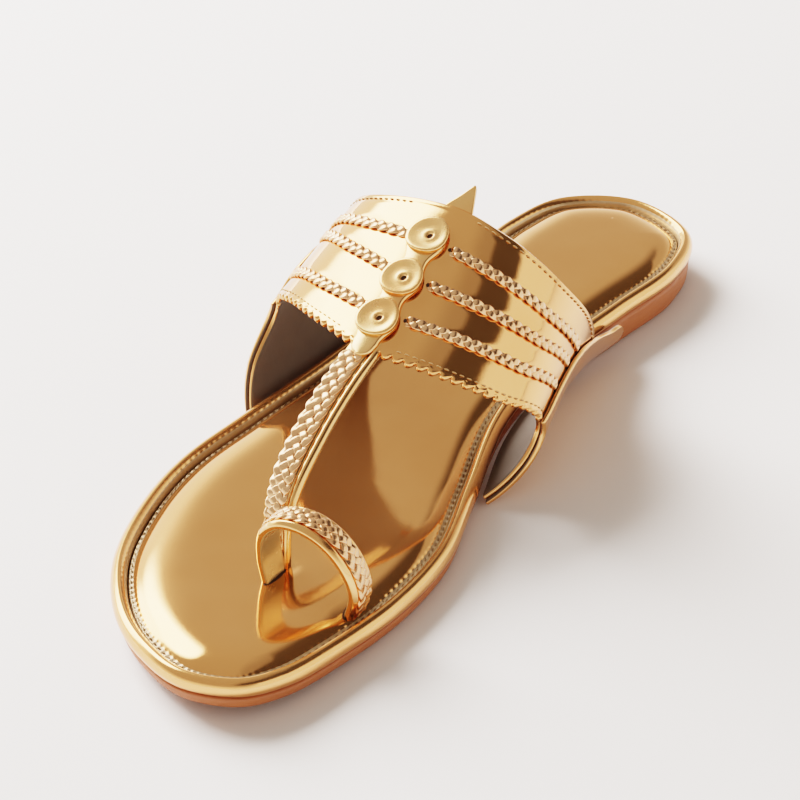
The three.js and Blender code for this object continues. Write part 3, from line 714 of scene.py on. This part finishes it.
def build_pad():
    """Pad as rings from the groove inwards, closed by a web between the facing points of the last ring."""
    half = RING_COUNT // 2
    columns = 31
    wave = pucker()
    rows = []
    for inset in np.concatenate([np.linspace(*rings) for rings in PAD_RINGS]):
        flat = ring(inset, RING_COUNT)
        sewn = ridge(inset, middle=STITCH_INSET, width=PAD_PUCKER["reach"], height=PAD_PUCKER["depth"])
        rise = pad_height(inset) - wave * sewn
        rows.append(np.column_stack([flat, seam_height(flat[:, 1]) + rise - strap_dents(flat)]))
    last = (len(rows) - 1) * RING_COUNT
    here = np.arange(half + 1)
    facing = (RING_COUNT - here) % RING_COUNT
    part = np.linspace(0, 1, columns)[None, :, None]
    web = lerp(rows[-1][here][:, None], rows[-1][facing][:, None], part)[1:-1, 1:-1]
    inner = web.reshape(-1, 3)
    inner[:, 2] = pad_surface(inner)
    index = np.empty((half + 1, columns), int)
    index[1:-1, 1:-1] = last + RING_COUNT + np.arange(len(inner)).reshape(half - 1, columns - 2)
    index[:, 0] = last + here
    index[:, -1] = last + facing
    index[0] = last
    index[-1] = last + half
    points = np.vstack([np.array(rows).reshape(-1, 3), inner])
    quads = np.stack([index[:-1, :-1], index[:-1, 1:], index[1:, 1:], index[1:, :-1]], -1).reshape(-1, 4)
    faces = up_faces(points, np.vstack([grid_faces(len(rows), RING_COUNT, wrap_cols=True), quads]))
    marks = np.arange(len(faces)) // RING_COUNT < GROOVE_ROWS["pad"]
    return mesh_piece("pad_skin", [gold_pad, gold_groove], "insole_pad", "gold_leather", points, faces, marks)


def build_groove_stitches():
    batch = Batch()
    flat = ring(STITCH_INSET, RING_COUNT)
    path = np.column_stack([flat, seam_height(flat[:, 1]) + pad_height(STITCH_INSET)])
    path = np.vstack([path, path[:1]])
    add_stitches(batch, path, (0, 0, 1), STITCH_PITCH, length=1.5, radius=0.17, turn=0.2)
    batch.piece("groove_stitches", [thread_brown], None, "gold_leather")


build_outsole()
build_rim()
pad = build_pad()
build_groove_stitches()

# Instep band: creases have their place across and along the band, their turn and their size
BAND_CREASES = {
    "across": [0.36, 0.29, 0.64, 0.72, 0.79],
    "along": [0.3, 0.62, 0.55, 0.25, 0.7],
    "turn": [0.4, -0.5, 0.3, -0.4, 0.5],
    "length": [0.1, 0.09, 0.09, 0.08, 0.07],
    "width": [0.05, 0.05, 0.05, 0.06, 0.05],
    "depth": [0.28, 0.22, 0.2, 0.25, 0.22],
}
CREASE_ASPECT = 0.3
BRAID_GROOVE = {"depth": 0.5, "width": 1.5, "from": 0.035, "to": 0.05, "channel": 0.3}
PINK_SHOWN = {"in": (0.18, 0.2), "out": (0.83, 0.85)}
PINK_RUN = 2.4
PINK_POWER = 0.7
BACK_SEAM = {"inset": 1.7, "first": 0.12, "last": 0.9}
FRONT_SEAM = {"inset": 2.6, "first": 0.2, "last": 0.83}
SEAM_GAP = (0.452, 0.548)
SEAM_LIFT = 0.05


def edge_round(distance, radius, depth):
    """How much a wall thins towards an edge at a distance."""
    inside = np.clip(1 - distance / radius, 0, 1)
    return depth * (1 - np.sqrt(np.clip(1 - inside ** 2, 0, 1)))


def crease_depth(across, along):
    total = np.zeros(np.broadcast(across, along).shape)
    for x, y, turn, length, width, depth in zip(*BAND_CREASES.values()):
        u, v = across - x, (along - y) * CREASE_ASPECT
        c, s = math.cos(turn), math.sin(turn)
        total += depth * np.exp(-((c * u + s * v) / length) ** 2 - ((c * v - s * u) / width) ** 2)
    return total


def braid_groove(across, along):
    width = back_edge(across) - front_edge(across)
    start = smooth(np.abs(across - 0.5), BRAID_GROOVE["from"], BRAID_GROOVE["to"])
    depth = np.zeros(np.broadcast(across, along).shape)
    for row in BRAIDS:
        for side in SIDES:
            away = (along - braid_along(row, side, across)) * width
            here = across < 0.5 if side == "lateral" else across >= 0.5
            depth += here * start * ridge(away, 0, BRAID_GROOVE["width"], BRAID_GROOVE["depth"])
    return depth


def build_band():
    columns, rows = 520, 61
    across = np.linspace(0, 1, columns)[None, :]
    along = np.linspace(0, 1, rows)[:, None]
    front_line = off_last(across[0], front_edge(across[0]), WALL)
    tooth = 1 - np.abs(np.sin(math.pi * lengths_along(front_line) / PINK_PITCH)) ** PINK_POWER
    shown = smooth(across[0], *PINK_SHOWN["in"]) * (1 - smooth(across[0], *PINK_SHOWN["out"]))
    width = back_edge(across) - front_edge(across)
    from_front, from_back = along * width, (1 - along) * width
    y = band_y(across, along) + PINK_DEPTH * tooth * shown * np.clip(1 - from_front / PINK_RUN, 0, 1)
    to_edge = np.minimum(from_front, from_back)
    groove = braid_groove(across, along)
    height = WALL - edge_round(to_edge, radius=0.7, depth=0.55) - crease_depth(across, along) - groove
    height += ridge(to_edge, middle=0.7, width=0.7, height=0.22)
    height -= ridge(from_back, middle=BACK_SEAM["inset"], width=0.5, height=0.22)
    inner_height = edge_round(to_edge, radius=0.6, depth=0.25)
    points, faces, marks = sheet(off_last(across, y, height), off_last(across, y, inner_height))
    # Deep channel faces take the dark cut-edge colour: painted shade beside the plaits, partly the brown of
    # the cut slit
    channel = groove[:-1, :-1].ravel() > BRAID_GROOVE["channel"]
    marks[:len(channel)] = np.where(channel, 3, 0)
    materials = [gold_band, lining, gold_band, cut_edge_and_painted_shade]
    mesh_piece("instep_band", materials, "upper", "gold_leather", points, faces, marks)


build_band()

# Side panels, outside the band
PANEL_LEAD = 0.5
PANEL_SEAT = 0.08
PANEL_HEIGHTS = {"lateral": 38, "medial": 24}
BEAD_FADE = (1, 6)


def build_panel(side):
    columns, rows = 150, 71
    sole = 0.0 if side == "lateral" else 1.0
    along = np.linspace(0, 1, columns)[None, :]
    rise = np.linspace(0, 1, rows)[:, None]
    tops = PANEL_TOPS[side]
    corner = float(across_at_height(side, 0.0, column(tops, "y", "z", 0.0)))
    start = front_edge(lerp(sole, corner, rise)) - PANEL_LEAD
    y = lerp(start, PANEL_END_Y, along)
    top = across_at_height(side, y, column(tops, "y", "z", y))
    across = lerp(sole, lerp(corner, top, smooth(along, 0, PANEL_BLEND)), rise)
    to_front = along * (PANEL_END_Y - start)
    to_back = (1 - along) * (PANEL_END_Y - start)
    to_top = (1 - rise) * PANEL_HEIGHTS[side]
    to_edge = np.minimum(np.minimum(to_front, to_top), to_back)
    below_top = smooth(to_top, *BEAD_FADE)
    height = WALL + PANEL_STEP - edge_round(to_edge, radius=0.8, depth=0.6)
    height += below_top * ridge(to_front, middle=1, width=0.8, height=0.35)
    height += smooth(to_front, *BEAD_FADE) * ridge(to_top, middle=0.8, width=0.8, height=0.15)
    height -= below_top * ridge(to_front, middle=2.4, width=0.5, height=0.25)
    height -= ridge(along, middle=0.42, width=0.18, height=0.5) * ridge(rise, 0.55, width=0.3, height=1)
    inner_height = WALL + PANEL_SEAT + edge_round(to_edge, radius=0.6, depth=0.3)
    skin = sheet(off_last(across, y, height), off_last(across, y, inner_height))
    mesh_piece(f"panel_{side}", [gold_band, lining, gold_band], "upper", "gold_leather", *skin)


for panel_side in SIDES:
    build_panel(panel_side)

# Toe strap and toe loop: relief rows give place and width in half widths, and height
TOE_STRAP_ACROSS = np.array([-1, 0, 0])
TOE_LOOP_ACROSS = np.array([0, -1, 0])
TOE_STRAP_RELIEF = [(-0.76, 0.16, 0.5), (-0.49, 0.06, -0.4)]
TOE_LOOP_RELIEF = [(0.74, 0.15, 0.4), (0.5, 0.07, -0.35), (-0.8, 0.12, 0.3), (-0.64, 0.06, -0.3)]
STRAP_CORNER = {"radius": 0.55, "steps": 6}
TOP_POINTS = 40
toe_strap_points = [*off_last(0.5, TOE_STRAP_LEAD_Y, -STRAP_OVERLAP), *TOE_STRAP_PATH]


def strap_frame(points, part, across_way):
    path = catmull(points, part, False)
    tangent = unit(np.gradient(path, axis=0))
    across = unit(across_way - tangent * (tangent @ across_way)[:, None])
    return path, across, unit(np.cross(across, tangent))


def build_strap(name, points, across_way, width_at, steps, relief):
    """Strap with a domed top, rounded edges and a back of its own material."""
    part = np.linspace(0, 1, steps)
    path, across, normal = strap_frame(points, part, across_way)
    half = width_at(part) / 2
    corner = STRAP_CORNER["radius"]
    profile = []
    for side, top, start in ((1, 1, 0), (-1, 1, 90), (-1, 0, 180), (1, 0, 270)):
        for angle in np.radians(np.linspace(start, start + 90, STRAP_CORNER["steps"])):
            profile.append((side, top, math.cos(angle), math.sin(angle)))
        if top and side > 0:
            profile.extend((flat, 1, 0, 1) for flat in np.linspace(1, -1, TOP_POINTS + 2)[1:-1])
    rows = []
    for side, top, out, up in profile:
        side_mm = side * (half - corner) + out * corner
        place = np.clip(side_mm / half, -1, 1)
        up_mm = np.full(steps, (STRAP_WALL - corner if top else corner) + up * corner)
        if top:
            up_mm += STRAP_DOME * (1 - place ** 2)
            up_mm += sum(ridge(place, *row) for row in relief)
        rows.append(path + across * side_mm[:, None] + normal * up_mm[:, None])
    points_out, faces = ring_stack(np.array(rows).transpose(1, 0, 2))
    profile_row = np.arange(len(faces)) % len(profile)
    first_under = 2 * STRAP_CORNER["steps"] + TOP_POINTS
    last_under = len(profile) - 3
    marks = (profile_row >= first_under) & (profile_row <= last_under)
    mesh_piece(name, [gold_strap, strap_back], "upper", "gold_leather", points_out, faces, marks)


def toe_strap_width(part):
    narrow = smooth(part, TOE_STRAP_WIDTHS["from"], TOE_STRAP_WIDTHS["to"])
    return lerp(TOE_STRAP_WIDTHS["top"], TOE_STRAP_WIDTHS["slit"], narrow)


def toe_loop_width(part):
    return np.full(len(part), TOE_LOOP_WIDTH)


def build_tail():
    columns, rows = 25, 41
    y = np.linspace(TAIL["base"], TAIL["tip"], rows)[:, None]
    beyond = np.maximum(0, y - TAIL["edge"])
    part = beyond / (TAIL["tip"] - TAIL["edge"])
    half = lerp(TAIL["width"], TAIL["point"], part)
    edge = np.linspace(-1, 1, columns)[None, :]
    shift = np.stack(np.broadcast_arrays(TAIL["skew"] * part, beyond, TAIL["slope"] * beyond), -1)
    place = TAIL["centre"] + edge * half
    base = np.broadcast_to(y - beyond, (rows, columns))
    thin = edge_round((1 - np.abs(edge)) * half, radius=0.6, depth=0.3)
    outer = off_crest(place, base, STRAP_WALL - STRAP_OVERLAP - thin) + shift
    inner = off_crest(place, base, -STRAP_OVERLAP) + shift
    materials = [gold_bright, lining, gold_bright]
    mesh_piece("tail", materials, "upper", "gold_leather", *sheet(outer, inner))


build_strap("toe_strap", toe_strap_points, TOE_STRAP_ACROSS, toe_strap_width, 140, TOE_STRAP_RELIEF)
build_strap("toe_loop", TOE_LOOP_PATH, TOE_LOOP_ACROSS, toe_loop_width, 160, TOE_LOOP_RELIEF)
build_tail()

# Plaits of flat leather strips over a dark strip, the brown of the cut slit and painted shade that shows
# between the lobes
PLAIT_STEP = 0.25
PLAIT_SIDES = 12
PLAIT_SAMPLES = 200
PLAIT_ENDS = {"run": 0.02, "least": 0.5}
PLAIT_DIP = {"seat": 0.45, "depth": 0.65, "start": 0.025, "end": 0.98}
STRIP_BULGE = 0.55
STRIP_SWELL = 0.1
STRAP_SEAT = 0.5
STRAP_SAMPLES = 400
GROUND = {"from": 0.01, "to": 0.99, "half_height": 0.1, "sides": 8}
BAND_PLAIT = {
    "strands": 3, "width": 3.15, "strand": 1.5, "thick": 0.75, "lobe": 3.1, "rise": 0.32, "swell": 0.28,
    "base": 0, "ground_inset": 0.5, "ground_height": 0.48,
}
STRAP_PLAIT = {
    "strands": 5, "width": 6.6, "strand": 1.85, "thick": 0.7, "lobe": 3.4, "rise": 0.24, "swell": 0.16,
    "base": 0.2, "ground_inset": 1.4, "ground_height": 0.45, "from": 0.2, "to": 0.79, "shift": 1.35,
}
LOOP_PLAIT = {
    **STRAP_PLAIT, "width": 5.6, "strand": 1.6, "lobe": 3.0, "from": 0.1, "to": 0.91, "shift": -0.4,
}
plait_strip_and_shade = Batch()


def build_plait(name, node, place, style):
    """Flat braid of three or five strands; place gives points and normals for (part, side, height)."""
    part = np.linspace(0, 1, PLAIT_SAMPLES)
    length = float(lengths_along(place(part, 0 * part, 0 * part)[0])[-1])
    strands = style["strands"]
    turns = max(1, round(length / style["lobe"])) / strands
    part = np.linspace(0, 1, int(length / PLAIT_STEP))
    run = PLAIT_ENDS["run"]
    taper = lerp(PLAIT_ENDS["least"], 1, smooth(part, 0, run) * (1 - smooth(part, 1 - run, 1)))
    swing = (style["width"] - style["strand"]) / 2 * taper
    batch = Batch()
    for strand in range(strands):
        angle = 2 * math.pi * (turns * part + strand / strands)
        over = np.sin((strands - 1) * angle)
        height = style["base"] + style["thick"] / 2 + style["rise"] * over
        path, ups = place(part, swing * np.sin(angle), height)
        half_width = style["strand"] / 2 * (1 + style["swell"] * over)
        half_height = style["thick"] / 2 * (1 + STRIP_SWELL * over)
        add_tube(batch, path, ups, half_width, half_height, PLAIT_SIDES, STRIP_BULGE)
    # Dark strip under each plait in the cut-edge colour: painted shade between the lobes
    part = np.linspace(GROUND["from"], GROUND["to"], int(length))
    path, ups = place(part, 0 * part, 0 * part + style["ground_height"])
    half_width = (style["width"] - style["ground_inset"]) / 2
    add_tube(plait_strip_and_shade, path, ups, half_width, GROUND["half_height"], GROUND["sides"])
    batch.piece(name, [braid_gold], node, "braid_gold")


def build_band_plait(row, side):
    def place(part, offset, height):
        across = lerp(BRAID_STARTS[side], row["ends"][side], part)
        point, normal = last_frame(across, band_y(across, braid_along(row, side, across)))
        cross = unit(np.cross(normal, unit(np.gradient(point, axis=0))))
        ends = 1 - smooth(part, 0, PLAIT_DIP["start"]) + smooth(part, PLAIT_DIP["end"], 1)
        lift = WALL - PLAIT_DIP["seat"] - PLAIT_DIP["depth"] * ends + height
        return point + cross * offset[:, None] + normal * lift[:, None], normal

    build_plait(f"plait_{row['name']}_{side}", f"braid_{row['name']}_{side}", place, BAND_PLAIT)


def build_strap_plait(name, node, points, across_way, width_at, style):
    fine = np.linspace(0, 1, STRAP_SAMPLES)
    fields = strap_frame(points, fine, across_way)
    widest = width_at(fine).max()

    def place(part, offset, height):
        at = lerp(style["from"], style["to"], part)
        path, across, normal = (
            np.stack([np.interp(at, fine, field[:, k]) for k in range(3)], 1) for field in fields)
        side_mm = (offset + style["shift"]) * width_at(at) / widest
        base = STRAP_WALL - STRAP_SEAT + STRAP_DOME * (1 - (2 * side_mm / width_at(at)) ** 2)
        point = path + unit(across) * side_mm[:, None]
        return point + unit(normal) * (base + height)[:, None], unit(normal)

    build_plait(name, node, place, style)


for braid_row in BRAIDS:
    for braid_side in SIDES:
        build_band_plait(braid_row, braid_side)
build_strap_plait("plait_toe_strap", "toe_strap_braid", toe_strap_points, TOE_STRAP_ACROSS, toe_strap_width,
                  STRAP_PLAIT)
build_strap_plait("plait_toe_loop", "toe_loop_braid", TOE_LOOP_PATH, TOE_LOOP_ACROSS, toe_loop_width,
                  LOOP_PLAIT)
plait_strip_and_shade.piece("plait_strip_and_shade", [cut_edge_and_painted_shade], None, "braid_gold")

# Centre strip and rosettes
ROSETTE_HOLE_ROWS = 2
ROSETTE_RINGS = {
    "radius": [0.004, 0.1, 0.13, 0.17, 0.23, 0.32, 0.45, 0.6, 0.74, 0.86, 0.94, 0.985, 1.0, 1.0],
    "height": [0.3, 0.3, 0.55, 0.85, 0.95, 0.88, 0.86, 0.95, 1.08, 1.2, 1.24, 1.1, 0.85, 0.1],
}


def build_strip():
    columns, rows = 17, 150
    y = np.linspace(STRIP["front"], STRIP["back"], rows)[:, None]
    pitch = ROSETTES["middle"] - ROSETTES["front"]
    wave = STRIP["lobe"] * np.cos(2 * math.pi * (y - ROSETTES["front"]) / pitch)
    rounded = np.sqrt(np.clip((y - STRIP["front"]) / STRIP["length"], STRIP["tip"], 1))
    half = (STRIP["width"] + wave) * rounded
    edge = np.linspace(-1, 1, columns)[None, :]
    base = WALL + STRIP["seat"]
    thin = edge_round((1 - np.abs(edge)) * half, radius=0.7, depth=0.5)
    outer = off_crest(edge * half, y, base + STRIP["thick"] - thin + STRIP["puff"] * (1 - edge ** 2))
    points, faces, _ = sheet(outer, off_crest(edge * half, y, base))
    mesh_piece("crest_strip", [gold_bright], "centre_strip", "rosette_gold", points, faces)


def build_rosette(name, y):
    count = 72
    angle = circle(count)
    rows = []
    for radius, height in zip(*ROSETTE_RINGS.values()):
        outer = smooth(radius, 0.3, 0.9)
        ripple = ROSETTE["ripple"] * np.cos(2 * angle + 0.3 * y) * outer
        uneven = 1 + ROSETTE["uneven"] * np.cos(3 * angle + y) * smooth(radius, 0.5, 1)
        reach = ROSETTE["radius"] * radius * uneven
        shift_x, shift_y = ROSETTE["shift_x"] * (1 - outer), ROSETTE["shift_y"] * (1 - outer)
        rows.append(off_crest(reach * np.cos(angle) + shift_x, y + reach * np.sin(angle) + shift_y,
                              WALL + ROSETTE["seat"] + height + ripple))
    points, faces = ring_stack(rows)
    # The inner rows round the centre hole are near black: painted shade
    marks = np.arange(len(faces)) < ROSETTE_HOLE_ROWS * count
    mesh_piece(f"rosette_{name}_skin", [gold_bright, hole_painted_shade], f"rosette_{name}", "rosette_gold", points,
               faces, marks)


build_strip()
for rosette_name, rosette_y in ROSETTES.items():
    build_rosette(rosette_name, rosette_y)

# Punched holes where the plaits go in beside the rosettes, and the slits of the toe straps, drawn as dark
# discs of painted shade on the surface
HOLE = {"count": 28, "across": 0.0055, "shift": 0.0008, "stretch": 1.1}
HOLE_RINGS = {"radius": [0.02, 0.4, 0.5, 0.54], "height": [0.05, 0.06, 0.04, -0.3]}
SLIT_COUNT = 36
SLIT_RINGS = {"grow": [0.05, 0.5, 0.9, 1.0, 1.05], "lift": [0.03, 0.04, 0.04, 0.02, -0.3]}
STRAP_SLITS = {
    "x": [-2.2, 0.1, 22.3], "y": [-70.9, -75.6, -75.2],
    "half_x": [3.5, 1.4, 1.5], "half_y": [1.5, 4.9, 4.9],
}


def build_holes():
    batch = Batch()
    angle = circle(HOLE["count"])
    across = BRAID_STARTS["medial"]
    for braid in BRAIDS:
        middle = float(band_y(across, braid_along(braid, "medial", across)))
        rows = []
        for radius, height in zip(*HOLE_RINGS.values()):
            at = across + radius * np.cos(angle) * HOLE["across"] - HOLE["shift"]
            rows.append(off_last(at, middle + radius * HOLE["stretch"] * np.sin(angle), WALL + height))
        batch.add(*ring_stack(rows))
    batch.piece("punched_holes", [hole_painted_shade], None, "braid_gold")


def build_slits():
    batch = Batch()
    angle = circle(SLIT_COUNT)
    for x, y, half_x, half_y in zip(*STRAP_SLITS.values()):
        rows = []
        for grow, lift in zip(*SLIT_RINGS.values()):
            flat = np.column_stack([x + half_x * grow * np.cos(angle), y + half_y * grow * np.sin(angle)])
            rows.append(np.column_stack([flat, pad_surface(flat) + lift]))
        batch.add(*ring_stack(rows))
    batch.piece("strap_slits", [hole_painted_shade], None, "gold_leather")


build_holes()
build_slits()


# Thread along the edges of the band
def build_band_stitches():
    batch = Batch()
    for seam, edge, way in ((BACK_SEAM, back_edge, -1), (FRONT_SEAM, front_edge, 1)):
        across = np.linspace(seam["first"], seam["last"], 500)
        y = edge(across) + way * seam["inset"]
        for here in (across <= SEAM_GAP[0], across >= SEAM_GAP[1]):
            point, normal = last_frame(across[here], y[here])
            path = point + normal * (WALL - SEAM_LIFT)
            add_stitches(batch, path, normal, pitch=2.1, length=1.4, radius=0.16, lift=SEAM_LIFT)
    batch.piece("band_stitches", [thread], None, "gold_leather")


build_band_stitches()

# Floor, light and camera, in metres
FLOOR = {"half": 4.0, "drop": 0.0002}
LAMP = {"place": (-1.424, 0.355, 0.953), "target": (0, 0, 0.03), "size": (1.07, 1.34), "power": 90}
LAMP_COLOR = (1.0, 0.985, 0.975)
LEFT_WAY = (-0.94, 0.34, 0)
RIGHT_WAY = (0.94, 0.34, 0)
WINDOW_WAY = (-0.74, 0.27, 0.616)
WINDOW_FOOT = (-0.923, 0.147, 0.357)
ROOM = {
    "above": (0.51, 0.45, 0.385), "near_floor": (1.5, 1.37, 1.22), "left": (1.65, 1.49, 1.3),
    "right": (0.36, 0.32, 0.28), "low_right": (1.35, 1.23, 1.08), "wall": (0.08, 0.073, 0.066),
    "window": (7.0, 6.8, 6.3), "window_foot": (6.0, 5.8, 5.4),
}


def build_floor():
    half = FLOOR["half"]
    mesh = bpy.data.meshes.new("floor")
    corners = [(-half, -half, 0), (half, -half, 0), (half, half, 0), (-half, half, 0)]
    mesh.from_pydata(corners, [], [(0, 1, 2, 3)])
    mesh.materials.append(matte("floor_pale", (0.79, 0.75, 0.742), (0.81, 0.772, 0.765), 3, Roughness=0.75))
    floor = bpy.data.objects.new("floor", mesh)
    floor.location.z = -FLOOR["drop"]
    bpy.context.scene.collection.objects.link(floor)


def build_lamp():
    data = bpy.data.lights.new("window_left", "AREA")
    data.shape = "RECTANGLE"
    data.size, data.size_y = LAMP["size"]
    data.energy = LAMP["power"]
    data.color = LAMP_COLOR
    lamp = bpy.data.objects.new("window_left", data)
    lamp.location = LAMP["place"]
    lamp.rotation_euler = (Vector(LAMP["target"]) - Vector(LAMP["place"])).to_track_quat("-Z", "Y").to_euler()
    lamp.visible_glossy = False
    bpy.context.scene.collection.objects.link(lamp)


def build_world():
    """Soft room: mid grey above, pale near the floor, dark high on the right, a window on the left."""
    world = bpy.data.worlds.new("studio")
    bpy.context.scene.world = world
    world.use_nodes = True
    tree = world.node_tree
    way = tree.nodes.new("ShaderNodeTexCoord").outputs["Generated"]

    def along(direction):
        node = add_node(tree, "ShaderNodeVectorMath", {1: direction}, {0: way})
        node.operation = "DOT_PRODUCT"
        return node.outputs["Value"]

    def rise(value, low, high):
        result = map_range(tree, value, low, high)
        result.node.interpolation_type = "SMOOTHSTEP"
        return result

    def both(first, second):
        node = add_node(tree, "ShaderNodeMath", {}, {0: first, 1: second})
        node.operation = "MULTIPLY"
        return node.outputs["Value"]

    height = along((0, 0, 1))
    right = rise(along(RIGHT_WAY), 0.1, 0.4)
    wall = both(rise(height, 0.55, 0.58), rise(height, 0.88, 0.83))
    masks = {
        "near_floor": rise(height, 0.5, -0.05),
        "left": rise(along(LEFT_WAY), 0.7, 0.86),
        "right": both(right, rise(height, 0.52, 0.58)),
        "low_right": both(rise(along(RIGHT_WAY), 0.6, 0.8), rise(height, 0.56, 0.5)),
        "wall": both(right, wall),
        "window": rise(along(WINDOW_WAY), 0.93, 0.975),
        "window_foot": rise(along(WINDOW_FOOT), 0.965, 0.988),
    }
    shade = ROOM["above"]
    for name, mask in masks.items():
        shade = mix_color(tree, mask, shade, ROOM[name])
    tree.links.new(shade, tree.nodes["Background"].inputs["Color"])


def build_camera():
    data = bpy.data.cameras.new("camera")
    data.sensor_width = CAMERA_SENSOR
    data.lens = CAMERA_LENS
    camera = bpy.data.objects.new("camera", data)
    bpy.context.scene.collection.objects.link(camera)
    way = (CAMERA_TARGET_MM - CAMERA_MM).normalized()
    turn = CAMERA_AXIS.rotation_difference(way)
    pose = Matrix((turn @ CAMERA_RIGHT, turn @ CAMERA_UP, -way)).transposed().to_4x4()
    pose.translation = (CAMERA_MM + Vector(OFFSET)) * MM
    camera.matrix_world = pose
    bpy.context.scene.camera = camera


build_floor()
build_lamp()
build_world()
build_camera()
bpy.context.scene.view_settings.view_transform = "Filmic"
bpy.context.scene.view_settings.look = "High Contrast"
